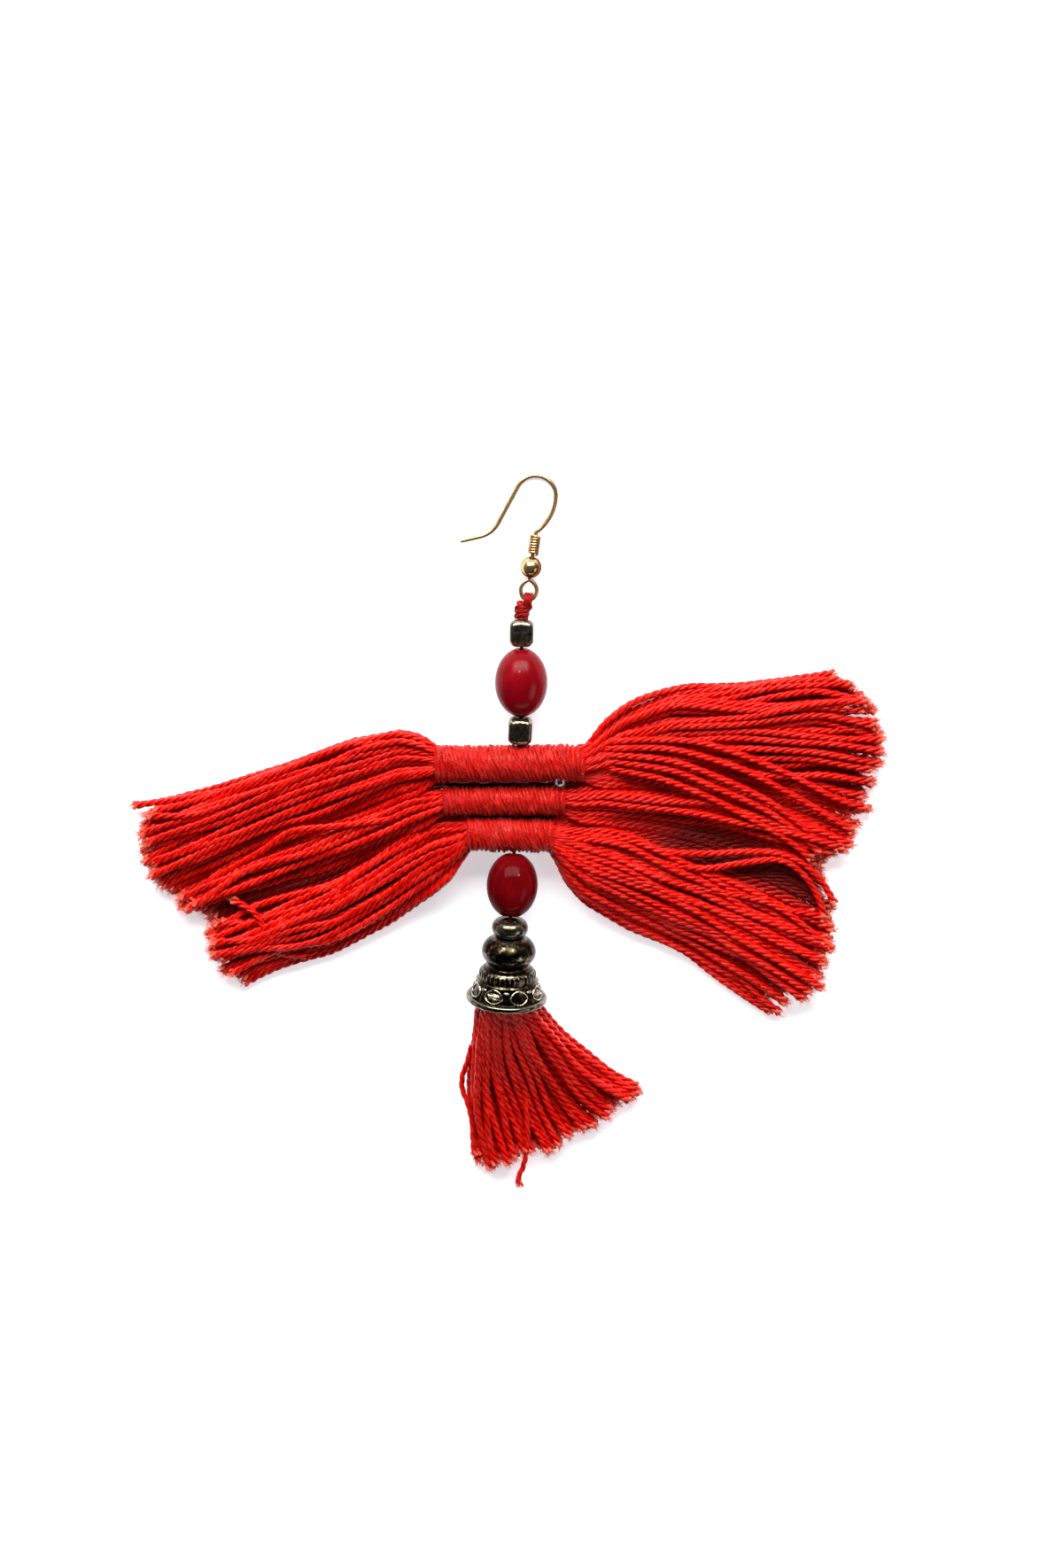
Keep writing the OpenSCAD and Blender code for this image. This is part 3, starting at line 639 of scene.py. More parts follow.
def paper(tree):
    grain = graded(cloud(tree, 0.08), (0.3, (0.88, 0.88, 0.885)), (0.7, (0.90, 0.90, 0.90)))
    return {"Base Color": grain, "Roughness": 0.9, "Specular IOR Level": 0.1,
            "Emission Color": (0.93, 0.95, 1.0), "Emission Strength": 0.55}


red_thread = finish("red_thread", cotton(
    (0.24, 0.000, 0.000), (0.58, 0.002, 0.000), (0.90, 0.045, 0.030), (0.95, 0.17, 0.11),
    0.25, 0.0))
wound_thread = finish("wound_thread", cotton(
    (0.27, 0.000, 0.000), (0.46, 0.005, 0.003), (0.78, 0.055, 0.042), (0.85, 0.20, 0.16),
    0.24, 0.04))
gold_wire = finish("gold_wire", gold(0.34, 0.24))
gold_ball = finish("gold_ball", gold(0.22, 0.12))
dark_metal = finish("dark_metal", gunmetal)
antique_metal = finish("antique_metal", antique)
ruby_upper = finish("ruby_bead_upper", ruby(
    (0.08, 0.001, 0.003), (0.165, 0.001, 0.004), (0.25, 0.004, 0.010), 0.24, 0.08))
# The lower bead's red is darker than the upper bead's, as painted shade
ruby_lower_shaded = finish("ruby_bead_lower", ruby(
    (0.05, 0.000, 0.001), (0.10, 0.001, 0.002), (0.15, 0.002, 0.005), 0.14, 0.02))
clear_nylon = finish("clear_nylon", nylon)


# Side fringes

# Share of the reach, top edge, bottom edge (shares of the wrap stack), height (share of LEVEL)
SHARES = [0, 0.04, 0.12, 0.28, 0.5, 0.75, 1]
HEIGHTS = [1, 0.95, 0.72, 0.48, 0.34, 0.31, 0.3]
FANS = {
    "top_left": ([0.1, 0.32, 0.36, 0.17, -0.23, -0.62, -0.92],
                 [-0.2, -0.47, -0.62, -0.97, -1.36, -1.91, -2.5],
                 [0.97, 0.99, 1, 0.98, 1, 0.95, 0.97, 0.93, 0.92, 0.87]),
    "middle_left": ([0.04, 0.03, -0.04, -0.33, -0.73, -1.1, -1.71],
                    [-0.2, -0.34, -0.53, -0.87, -1.3, -1.64, -2.03],
                    [1, 0.97, 0.98, 0.94, 0.95, 0.91]),
    "bottom_left": ([0.12, 0.14, 0.12, -0.21, -0.66, -1.08, -1.46],
                    [-0.2, -0.63, -0.95, -1.42, -1.9, -2.21, -2.6],
                    [1, 0.97, 0.99, 0.96, 0.97, 0.93, 0.92, 0.88, 0.85]),
    "top_right": ([0.2, 0.51, 0.79, 1.1, 1.21, 1.42, 1.53],
                  [-0.1, -0.24, -0.24, -0.31, -0.37, -0.52, -0.73],
                  [0.83, 0.88, 0.93, 0.95, 0.98, 0.99, 1, 0.95, 0.97, 0.94, 0.97, 0.91]),
    "middle_right": ([0.15, 0.2, 0.26, 0.23, 0.16, 0.03, -0.27],
                     [-0.15, -0.21, -0.23, -0.27, -0.4, -0.68, -1.05],
                     [1, 0.96, 0.97, 0.93, 0.91, 0.88]),
    "bottom_right": ([0.12, 0.2, 0.2, 0.15, 0, -0.27, -0.61],
                     [-0.15, -0.6, -0.97, -1.34, -1.68, -2.26, -2.88],
                     [0.95, 1, 0.97, 1, 0.96, 0.98, 0.93, 0.92, 0.87, 0.84, 0.79]),
}
# How far the upper layers draw back from a fan's top and bottom edge, which leaves a hollow; the
# lowest threads there are darkened as painted shade
HOLLOWS = {"middle_left": (0.0, 0.07), "bottom_left": (0.12, 0.0), "middle_right": (0.0, 0.08),
           "bottom_right": (0.16, 0.0)}
# Inset of the outer threads from a fan's edge, rise of each layer, run inside the wrap
EDGE, LAYER_RISE, IN_WRAP = 0.5, 0.82, 1.2
# Layers of each fan: from and to across it, threads, lift
GATHER = (0.0, 0.14, 0.3)
# Lift-0 threads are darkened as painted shade under the layers above; the last rows of middle_right
# and bottom_right are such dark threads that fill hollows
LAYERS = {
    "top_left": [(0, 1.15, 18, 0), (0, 1.06, 18, 1), (0.08, 0.7, 9, 2)],
    "middle_left": [(-0.25, 1.25, 9, 0), (-0.15, 1.15, 8, 1), (0.1, 0.6, 3, 2)],
    "bottom_left": [(-0.1, 1, 18, 0), (-0.02, 1, 15, 1), (0.3, 0.75, 6, 2)],
    "top_right": [(0, 1.12, 25, 0), (0, 1.06, 22, 1), (0.1, 0.68, 9, 2)],
    "middle_right": [(-0.25, 1.3, 12, 0), (-0.15, 1.15, 9, 1), (0, 0.45, 3, 2),
                     (0.7, 1.25, 6, 0)],
    "bottom_right": [(-0.28, 1, 33, 0), (0.04, 1, 20, 1), (0.15, 0.7, 9, 2),
                     (-0.26, 0.3, 13, 0)],
}
# Threads that lie over the others, in millimetres
LOOSE = {
    "top_left": [
        [(-18.2, 0.9, 4.6), (-26.2, -0.6, 4.4), (-32.8, -1.9, 4.0), (-36.7, -4.9, 3.4),
         (-40.6, -7.8, 2.8), (-43.9, -10.1, 2.2), (-46.9, -13.0, 1.6)],
        [(-41.0, 4.0, 2.2), (-48.0, 2.2, 2.0), (-53.0, 1.0, 1.8), (-56.9, 0.1, 1.4)]],
    "bottom_left": [
        [(-26.5, -18.9, 3.4), (-30.7, -19.8, 3.0), (-34.5, -19.7, 2.4), (-37.5, -18.8, 2.2),
         (-39.6, -17.1, 2.4), (-42.9, -17.0, 2.4)],
        [(-30.0, -21.9, 2.2), (-34.5, -21.2, 2.4), (-36.2, -18.3, 2.8), (-37.9, -15.3, 3.0),
         (-41.4, -13.4, 2.8)]],
    "top_right": [
        [(10.9, 13.9, 4.4), (13.5, 17.8, 4.6), (17.3, 20.8, 4.0), (22.5, 22.8, 3.2),
         (27.2, 23.5, 2.4), (33.8, 22.9, 1.8)],
        [(9.9, 12.7, 4.8), (15.4, 12.9, 5.3), (23.7, 12.4, 5.3), (31.9, 9.7, 4.8),
         (38.7, 6.5, 4.1), (43.6, 3.0, 3.4), (47.8, -0.3, 2.6)],
        [(9.9, 12.2, 4.6), (15.4, 11.8, 5.1), (23.8, 10.9, 5.2), (30.6, 8.4, 4.8),
         (37.4, 5.6, 4.1), (43.0, 2.0, 3.4), (46.5, -1.2, 2.6)],
        [(9.9, 13.2, 4.9), (15.2, 14.0, 5.4), (23.7, 14.2, 5.2), (33.1, 11.9, 4.7),
         (39.9, 8.8, 3.9), (46.1, 5.4, 3.1), (51.3, 2.3, 2.4)],
        [(9.9, 13.7, 4.8), (16.2, 15.2, 5.3), (26.3, 15.6, 5.0), (34.3, 13.6, 4.4),
         (42.5, 10.4, 3.7), (48.0, 7.6, 3.0), (53.2, 5.8, 2.2)],
        [(9.9, 11.7, 4.2), (15.4, 10.6, 4.8), (22.6, 9.4, 5.1), (29.4, 7.0, 4.8),
         (36.2, 3.7, 4.2), (41.7, 0.6, 3.4), (45.3, -2.2, 2.6)]],
    "bottom_right": [
        [(17.0, -1.6, 2.4), (24.0, -2.4, 2.7), (30.0, -2.2, 3.0), (35.2, -1.6, 3.2),
         (40.5, -1.6, 3.0), (44.6, -3.4, 2.6), (47.7, -6.6, 2.0), (49.3, -9.4, 1.5)],
        [(17.0, -3.0, 2.2), (24.0, -4.2, 2.6), (29.5, -4.6, 2.9), (35.3, -3.3, 3.2),
         (40.6, -2.6, 3.1), (44.1, -4.6, 2.7), (46.6, -8.0, 2.1), (47.8, -11.3, 1.5)]],
}

UP = Vector((0, 0, 1))
# A thread's middle on the surface, how far its plies rise where they fray, and over what length
LYING, FRAY_RISE, FRAY_LEN = 0.62, 0.34, 1.5
# Loose fibres at a cut end: how many, where they start, how they lean and bend, how long they are
FIBRES, ROOT_ACROSS, ROOT_UP, FIBRE_SPREAD, FIBRE_BEND = (9, 14), 0.38, 0.3, 0.55, 0.18
FIBRE_LOW, FIBRE_REACH, FIBRE_THICK, FIBRE_DYE = 0.06, (0.4, 1.3), [1.7, 1.3, 0.5], 1.2
# A fan's threads: tufts of so many, unevenness of the cut, sway, drift, flick and level, and how
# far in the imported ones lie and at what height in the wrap
TUFT, CUT_SPREAD, LOWER_CUT = (2, 5), 0.014, 0.012
SWAY, DRIFT, FLICK, LEVEL_SPREAD = (0.2, 0.75), 0.03, 0.6, 0.12
PACKED_INSET, PACKED_HEIGHTS = 0.42, (-0.9, 0.15, 0.9)


def smooth_step(low, high, value):
    share = min(1.0, max(0.0, (value - low) / (high - low)))
    return share * share * (3 - 2 * share)


def hair_courses(chance, tip, way, count):
    """Loose fibres at a cut end."""
    hairs = []
    across = way.cross(UP).normalized()
    for _ in range(count):
        root = (tip + across * chance.uniform(-ROOT_ACROSS, ROOT_ACROSS)
                + UP * chance.uniform(-ROOT_UP, ROOT_UP))
        lean = (way + across * chance.gauss(0, FIBRE_SPREAD)
                + UP * chance.gauss(0, FIBRE_SPREAD * 0.5)).normalized()
        length = chance.uniform(*FIBRE_REACH)
        bend = across * chance.gauss(0, FIBRE_BEND) * length
        points = [root - lean * 0.25, root + lean * length * 0.5, root + lean * length + bend]
        for point in points:
            point.z = max(point.z, FIBRE_LOW)
        hairs.append(Course(points, FIBRE_THICK, FIBRE_DYE, hair=1.0))
    return hairs


def thread_course(chance, points, dye, thick=1.0, frayed=True):
    """One thread with its cut end's fray, and the loose fibres there."""
    places = [Vector(p) for p in points]
    left = [0.0]
    for a, b in zip(places[::-1], places[-2::-1]):
        left.append(left[-1] + (a - b).length)
    left = np.array(left[::-1])
    fray = np.clip(1 - left / FRAY_LEN, 0, 1) if frayed else np.zeros(len(places))
    for place, opened in zip(places, fray):
        if opened > 0:
            place.z = max(place.z, LYING + FRAY_RISE * opened)
    courses = [Course(places, thick, fray, chance.random(), dye=dye)]
    if frayed:
        way = (places[-1] - places[-3]).normalized()
        courses += hair_courses(chance, places[-1], way, chance.randint(*FIBRES))
    return courses


def fan_courses(name, side, start, reach, hank_r, seed):
    """Threads of one fan, from inside the wrap to their cut ends. start is (x and y of the
    wrap's end, y of the wrap's middle)."""
    chance = random.Random(seed)
    tops, lows, ends = FANS[name]
    hollow_top, hollow_low = HOLLOWS.get(name, (0.0, 0.0))
    core = hank_r - PACKED_INSET
    courses = []
    for first, last, count, lift in LAYERS[name]:
        free = 1 if lift else 0.3
        tuft, left_in_tuft = first, 0
        for i in range(count):
            if left_in_tuft == 0:
                left_in_tuft = chance.randint(*TUFT)
                tuft = first + (last - first) * (i + left_in_tuft / 2 - 0.5) / (count - 1)
            left_in_tuft -= 1
            u = first + (last - first) * (i + chance.uniform(-0.35, 0.35) * free) / (count - 1)
            end = np.interp(u, np.linspace(0, 1, len(ends)), ends) - abs(chance.gauss(0, CUT_SPREAD))
            end -= LOWER_CUT * chance.random() * (2 - lift)
            phases = [chance.uniform(0, math.tau) for _ in range(4)]
            sway = chance.uniform(*SWAY) * free
            drift = chance.gauss(0, DRIFT) * (1 if lift else 0.2)
            flick = chance.gauss(0, FLICK)
            level_jitter = chance.gauss(0, LEVEL_SPREAD)
            y_first = core * (1 - 2 * min(1.0, max(0.0, u)))
            z_first = math.sqrt(max(0.02, core ** 2 - y_first ** 2)) * PACKED_HEIGHTS[lift]
            # Random colour variation, plus painted shade: 0.35 more on the lowest layer under the
            # layers above, and up to 1.1 more where it lies under a hollow
            dye = chance.random() * 0.5 + (0 if lift else 0.35)
            hollow_shade = max(1 - u / (1.5 * hollow_top) if hollow_top else 0.0,
                       1 - (1 - u) / (1.5 * hollow_low) if hollow_low else 0.0, 0.0)
            shares = {round(end * t ** 1.3, 5) for t in np.linspace(0, 1, 24)} | {end * 0.985}
            points, thick, shade = [], [], []
            for s in sorted(shares):
                top = np.interp(s, SHARES, tops) * STACK - EDGE
                low = np.interp(s, SHARES, lows) * STACK + EDGE
                wave = math.sin(5.5 * s + phases[0]) + 0.6 * math.sin(13 * s + phases[1])
                gathered = u + (tuft - u) * GATHER[lift] * smooth_step(0.15, 0.9, s)
                gathered += drift * math.sin(6.5 * s + phases[3])
                drawn = smooth_step(0.18, 0.5, s)
                if lift:
                    gathered += drawn * (hollow_top * (1 - u) - hollow_low * u)
                y = start[2] + top - (top - low) * gathered
                y += sway * wave * smooth_step(0.03, 0.5, s)
                y += flick * smooth_step(0.8, 1.0, s / end)
                crown = 1.1 * (1 - (2 * u - 0.7) ** 2) * smooth_step(0.05, 0.3, s)
                z = np.interp(s, SHARES, HEIGHTS) * LEVEL - 0.45 + LAYER_RISE * lift
                if lift:
                    z += crown + level_jitter + 0.1 * math.sin(8 * s + phases[2]) * lift
                x = start[0] + (X_THREAD + side * reach - start[0]) * s
                spread = smooth_step(0.0, 0.055, s)
                in_wrap = Vector((start[0] - side * IN_WRAP * (1 - spread), start[1] + y_first,
                                  LEVEL + z_first))
                points.append(in_wrap.lerp(Vector((x, y, max(z, LYING))), spread))
                thick.append(0.78 + 0.22 * smooth_step(0.0, 0.1, s))
                shade.append(dye + (0 if lift else min(1.0, 1.8 * hollow_shade) * 1.1 * drawn))
            size = chance.uniform(0.96, 1.08) * (1 if lift else 1.1)
            courses += thread_course(chance, points, shade, np.array(thick) * size)
    return courses


def loose_course(chance, points, dye=0.1, thick=1.0):
    """A thread that lies over the others, through given points."""
    points = [Vector(p) for p in points]
    count = len(points)
    dense = [between(points[max(0, k - 1)], points[k], points[k + 1],
                     points[min(count - 1, k + 2)], t)
             for k in range(count - 1) for t in (0, 0.25, 0.5, 0.75)]
    return thread_course(chance, dense + points[-1:], dye, thick)


def core_mesh(length, radius, place):
    """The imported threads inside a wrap."""
    mesh = bpy.data.meshes.new("core")
    shape = bmesh.new()
    bmesh.ops.create_cone(shape, cap_ends=True, segments=32, radius1=radius * MM,
                          radius2=radius * MM, depth=length * MM)
    shape.to_mesh(mesh)
    shape.free()
    mesh.transform(in_metres(place @ turn("Y", 90)))
    mesh.materials.append(red_thread)
    return mesh


# Middle down the thread and across it, tilt, wrap's length and diameter, fans' reach, seed
HANKS = [
    ("top", Y_WRAP_TOP, -0.058 * WRAP_TOP[0], 3.5, WRAP_TOP, 1.0, 1.0, 11),
    ("middle", Y_WRAP_MIDDLE, -0.103 * WRAP_MIDDLE[0], 3.5, WRAP_MIDDLE, 0.89, 0.93, 21),
    ("bottom", Y_WRAP_BOTTOM, -0.053 * WRAP_BOTTOM[0], 2.0, WRAP_BOTTOM, 0.82, 0.89, 31),
]
# Layers of wound turns: spacing, slant, how much fuller, ply radius and distance, twist length
WOUND = [("turns", WINDING, 0.38, 0.0, 0.145, 0.125, 1.9),
         ("stray_turns", 1.7, 0.66, 0.15, 0.12, 0.10, 1.8),
         ("crossing_turns", 2.9, 0.05, 0.12, 0.11, 0.09, 1.6)]


def on_wrap(down, across, tilt):
    return shift(X_THREAD + across, Y_FOOT - down, LEVEL) @ turn("Z", tilt)


for name, y, x, tilt, (length, diameter), left_share, right_share, seed in HANKS:
    hank_r = diameter / 2 - WOUND_LAYER
    place = on_wrap(y, x, tilt)
    cx, cy = X_THREAD + x, Y_FOOT - y
    for side, reach, hand in ((-1, REACH_LEFT * left_share, "left"),
                              (1, REACH_RIGHT * right_share, "right")):
        fan = "%s_%s" % (name, hand)
        start = (cx + side * length / 2 * cos(tilt), cy + side * length / 2 * sin(tilt), cy)
        courses = fan_courses(fan, side, start, reach, hank_r, seed + side)
        chance = random.Random(seed + 5 * side)
        for points in LOOSE.get(fan, []):
            courses += loose_course(chance, points)
        strung("hank_%s_threads" % fan, courses, threads, red_thread, "red_thread", "hank_" + name)
    settle(shown("hank_%s_core" % name, core_mesh(length - 0.2, hank_r - 0.05, place)),
           "red_thread", "hank_" + name)
    for part, spacing, slant, fuller, ply_r, ply_distance, twist in WOUND:
        wound = shown("wrap_%s_%s" % (name, part), bpy.data.meshes.new("turns"))
        settle(worked(wound, windings, place, length=length * MM,
                      diameter=(diameter + fuller) * MM, spacing=spacing * MM, slant=slant,
                      unevenness=0.6 * MM, ply_radius=ply_r * MM,
                      ply_distance=ply_distance * MM, twist_length=twist * MM,
                      step=0.36 * MM, ply_sides=4, slub=0.04 * MM, finish=wound_thread),
               "wound_thread", "wrap_" + name)


def tucked_shade_courses(seed):
    """Threads of the hanks that lie in the valleys under the wraps, darkened to near black as
    painted shade.
    """
    chance = random.Random(seed)
    courses = []
    for above, below, x, length, tilt in (
            (Y_WRAP_TOP + WRAP_TOP[1] / 2, Y_WRAP_MIDDLE - WRAP_MIDDLE[1] / 2, -1.9, 24.0, 3.5),
            (Y_WRAP_MIDDLE + WRAP_MIDDLE[1] / 2, Y_WRAP_BOTTOM - WRAP_BOTTOM[1] / 2, -0.7, 19.0,
             2.8)):
        place = on_wrap((above + below) / 2, x, tilt)
        for y, z in ((-0.15, -1.35), (-0.75, -2.1)):
            points = [place @ Vector((t * length / 2, y + 0.1 * math.sin(9 * t), z))
                      for t in np.linspace(-1, 1, 14)]
            courses.append(Course(points, phase=chance.random(), dye=1.3))
    return courses


strung("tucked_threads", tucked_shade_courses(2), threads, red_thread, "red_thread", "hank_middle")


def fuzz_courses(seed):
    """Loose fibres that stand off the wraps."""
    chance = random.Random(seed)
    fibres = []
    for _, y, x, tilt, (length, diameter), _, _, _ in HANKS:
        place = on_wrap(y, x, tilt)
        for _ in range(round(5 * length)):
            a, r = chance.uniform(-20, 200), diameter / 2 - 0.08
            root = Vector((chance.uniform(-0.5, 0.5) * length, r * cos(a), r * sin(a)))
            out = Vector((0, cos(a), sin(a)))
            way = Vector((chance.gauss(0, 0.6), 0, 0)) + out.cross(Vector((1, 0, 0)))
            way = way * chance.choice((-1, 1)) + out * chance.uniform(0.0, 0.5)
            reach = chance.uniform(0.3, 0.9)
            points = [root, root + way * reach * 0.5 + out * 0.12, root + way * reach]
            fibres.append(Course([place @ point for point in points], [0.55, 0.5, 0.3], 0.8,
                                 hair=1.0))
    return fibres


strung("wrap_fuzz", fuzz_courses(4), threads, red_thread, "red_thread", "wrap_middle",
       fibre_radius=0.035 * MM)


# Small tassel

# Share across the mouth, halfway point and end as shares of the tassel's length
TASSEL = np.array([
    [-1, -0.165, -0.42, -0.13, -0.93], [-0.78, -0.13, -0.46, -0.05, -1],
    [-0.56, -0.08, -0.47, 0.05, -0.96], [-0.34, -0.01, -0.45, 0.14, -0.89],
    [-0.12, 0.06, -0.44, 0.25, -0.9], [0.1, 0.125, -0.43, 0.33, -0.84],
    [0.3, 0.19, -0.41, 0.42, -0.78], [0.48, 0.25, -0.4, 0.51, -0.73],
    [0.64, 0.32, -0.38, 0.59, -0.65], [0.8, 0.385, -0.355, 0.68, -0.58],
    [1, 0.45, -0.33, 0.77, -0.52]])
TASSEL_LOOSE = [
    [(-4.2, -34.5, 2.2), (-4.8, -37.4, 2.0), (-5.4, -39.6, 1.8), (-5.3, -41.7, 1.8),
     (-4.4, -43.7, 2.0), (-3.7, -46.1, 2.0), (-3.0, -50.1, 1.6), (-2.3, -53.3, 1.2)],
    [(2.8, -33.5, 4.2), (4.1, -40.7, 3.8), (5.0, -47.9, 3.2), (4.9, -50.9, 2.6),
     (4.5, -53.6, 2.0), (3.9, -55.2, 1.8), (4.2, -56.6, 1.6)]]
# Layers of the tassel: threads, height as a share of the mouth's radius, rise at the halfway point
TASSEL_LAYERS = [(33, -0.75, 0.3), (24, 0.25, 1.2), (15, 1.06, 2.4)]


def tassel_courses(seed):
    """Threads of the small tassel, from inside the cap to their cut ends."""
    chance = random.Random(seed)
    mouth_r = CAP_RIM_D / 2 * 0.84 - 0.9
    y_edge = Y_FOOT - Y_MOUTH
    inner = 0.3 * CAP_LEN
    courses = []
    for upper, (count, stacked, rise) in enumerate(TASSEL_LAYERS):
        for i in range(count):
            v = -1 + 2 * (i + 0.5 + chance.uniform(-0.3, 0.3)) / count
            v *= (1, 1, 0.86)[upper]
            mx, my, ex, ey = (np.interp(v, TASSEL[:, 0], TASSEL[:, k]) for k in (1, 2, 3, 4))
            trim = 1 - abs(chance.gauss(0, 0.02)) - 0.012 * (2 - upper)
            height = stacked * mouth_r * math.sqrt(max(0.05, 1 - v * v * 0.8))
            begin = Vector((X_THREAD + v * mouth_r * 0.3, y_edge + inner,
                            RIM_Z + inner * sin(CAP_PITCH) + 0.3 * height))
            mouth = Vector((X_THREAD + v * mouth_r * 0.92, y_edge + 0.2, max(RIM_Z + height, 0.7)))
            low = 0.6 + 0.8 * upper
            middle = Vector((X_THREAD + mx * TASSEL_LEN, y_edge + my * TASSEL_LEN, low + rise))
            end = Vector((X_THREAD + ex * TASSEL_LEN * trim, y_edge + ey * TASSEL_LEN * trim, low))
            phases = [chance.uniform(0, math.tau) for _ in range(3)]
            points = [begin, begin.lerp(mouth, 0.5), mouth]
            for t in sorted([*np.linspace(0.06, 1, 16), 0.975]):
                p = (mouth * (1 - t) * (1 - 2 * t) + middle * 4 * t * (1 - t)
                     + end * t * (2 * t - 1))
                sway = 0.28 * (math.sin(6 * t + phases[0]) + 0.5 * math.sin(13 * t + phases[1]))
                p.x += sway * smooth_step(0, 0.4, t)
                p.z = max(p.z + 0.12 * upper * math.sin(7 * t + phases[2]), 0.57)
                points.append(p)
            # Random colour variation, plus 0.25 more on the lowest layer as painted shade under the
            # layers above
            dye = chance.random() * 0.4 + (0 if upper else 0.25)
            courses += thread_course(chance, points, dye, chance.uniform(0.98, 1.12))
    return courses


chance = random.Random(8)
tassel = tassel_courses(7)
for points in TASSEL_LOOSE:
    tassel += loose_course(chance, points, 0.1, 0.8)
strung("small_tassel_threads", tassel, threads, red_thread, "red_thread", "small_tassel",
       ply_radius=0.30 * MM, ply_distance=0.30 * MM, twist_length=4.6 * MM)


# Thread, loops and knot

KNOT_WIDTHS = ([0, 0.06, 0.28, 0.5, 0.7, 0.94, 1], [0.34, 0.44, 0.52, 0.45, 0.5, 0.42, 0.3])


def knot_courses(seed):
    """The thread's loops round the hook's loop, its knot and its run through the beads."""
    chance = random.Random(seed)
    courses = []
    # Loops, knot coils, heart and tails are darkened well past the hanks' threads as painted shade
    for x in (-0.42, 0.0, 0.4):
        loop = [Vector((HOOK_X + x + 0.08 * cos(a * 2 + 90 * x), Y_FOOT - 0.1 + 1.02 * cos(a),
                        LOOP_Z + 1.02 * sin(a))) for a in range(180, 541, 20)]
        courses.append(Course(loop, 0.5, phase=chance.random(), dye=1.3))
    knot = on_cube_run(KNOT_DOWN)
    for hand, turns, begin in ((1, 3.2, 20), (-1, 2.3, 150)):
        coil = []
        for t in np.linspace(0.0, 0.98, 40):
            r = np.interp(t, *KNOT_WIDTHS) * KNOT_W - 0.36
            a = begin + hand * 360 * turns * t
            coil.append(knot @ Vector((r * cos(a), 0.9 * r * sin(a), t * KNOT_LEN)))
        courses.append(Course(coil, 0.66, phase=chance.random(), dye=1.38))
    heart = [knot @ Vector((0, 0, t * KNOT_LEN)) for t in (-0.3, 0.2, 0.6, 1.0)]
    courses.append(Course(heart, 1.5, dye=1.25))
    for a, reach in ((205, 1.15), (160, 1.0)):
        tail = [knot @ Vector((r * cos(a), r * sin(a), z * KNOT_LEN))
                for r, z in ((0.5, 0.6), (0.8, 0.75), (reach - 0.2, 0.86), (reach, 0.95))]
        courses += thread_course(chance, tail, 1.2, 0.5, False)
    # The run through the beads is near black: painted shade where it shows between them
    stops = [on_cube_run(KNOT_DOWN + 0.9 * KNOT_LEN), on_cube_run(CUBE_RUN * 0.7),
             on_cube_run(CUBE_RUN), on_level(Y_OVAL_END), on_level(Y_OVAL_END + 2),
             on_level(Y_OVAL_LOWER - 2), on_level(Y_OVAL_LOWER), on_lower_run(LOWER_RUN * 0.5),
             on_cap_run(0), on_cap_run(SPACER_LEN + 0.72 * CAP_LEN)]
    courses.append(Course([stop.translation for stop in stops], 0.5, dye=1.5))
    return courses


strung("thread_and_knot", knot_courses(3), threads, red_thread, "red_thread", "bead_thread",
       step=0.3 * MM, ply_sides=6, twist_length=3.0 * MM)


def nylon_courses():
    """The clear strand sewn along the valley between the upper wraps, and its knot."""
    place = on_wrap((Y_WRAP_TOP + Y_WRAP_MIDDLE) / 2 - 0.28, -1.3, 3.5)
    strand = [place @ Vector((x, 0.1 * math.sin(2.1 * x), 1.0 + 0.12 * math.sin(1.3 * x)))
              for x in np.linspace(-8.6, 7.6, 40)]
    courses = [Course(strand)]
    for turned_by, wide, lift in ((10, 0.75, 0.0), (70, 0.62, 0.15), (130, 0.7, 0.3)):
        ring_place = place @ shift(7.7, 0.1, 1.6 + lift) @ turn("Z", turned_by)
        courses.append(Course([
            ring_place @ Vector((wide * cos(a), 0.45 * sin(a), 0.25 * sin(a * 2)))
            for a in range(0, 360, 24)], closed=True))
    return courses


strung("nylon_stitch", nylon_courses(), wires, clear_nylon, None,
       wire_radius=0.09 * MM, wire_sides=8)


# Ear hook

def along(point, heading, run, shares):
    """Points on a straight run."""
    return [(point[0] + run * t * cos(heading), point[1] + run * t * sin(heading)) for t in shares]


def bent(point, heading, sweep, radius, steps):
    """Points on a bend, without its end."""
    return [arc_end(point, heading, sweep * t, radius) if t else point
            for t in np.linspace(0, 1, steps, endpoint=False)]


def hook_points():
    """Points of the hook's wire, from the top of its loop to its tip."""
    line = [(0, LOOP_APEX - 0.25), (0, LOOP_APEX)]
    line += along((0, LOOP_APEX), 90 - SHANK_LEAN, SHANK_LEN, np.linspace(0.1, 0.97, 10))
    line += bent(HOOK_A, HEADING_OUT, 90 - HEADING_OUT, RISE_RADIUS, 14)
    line += bent(HOOK_B, 90, HEADING_LEG - 90, ARCH_RADIUS, 30)
    line += along(HOOK_C, HEADING_LEG, FRONT_LEG, np.linspace(0, 0.96, 8))
    line += bent(HOOK_D, HEADING_LEG, HEADING_TAIL - HEADING_LEG, TAIL_BEND, 12)
    line += along(HOOK_E, HEADING_TAIL, TAIL_LEN, (0, 0.3, 0.6, 0.85, 0.93, 0.97, 0.99, 1.0))
    return [IN_HOOK @ Vector((x, y, 0)) for x, y in line]


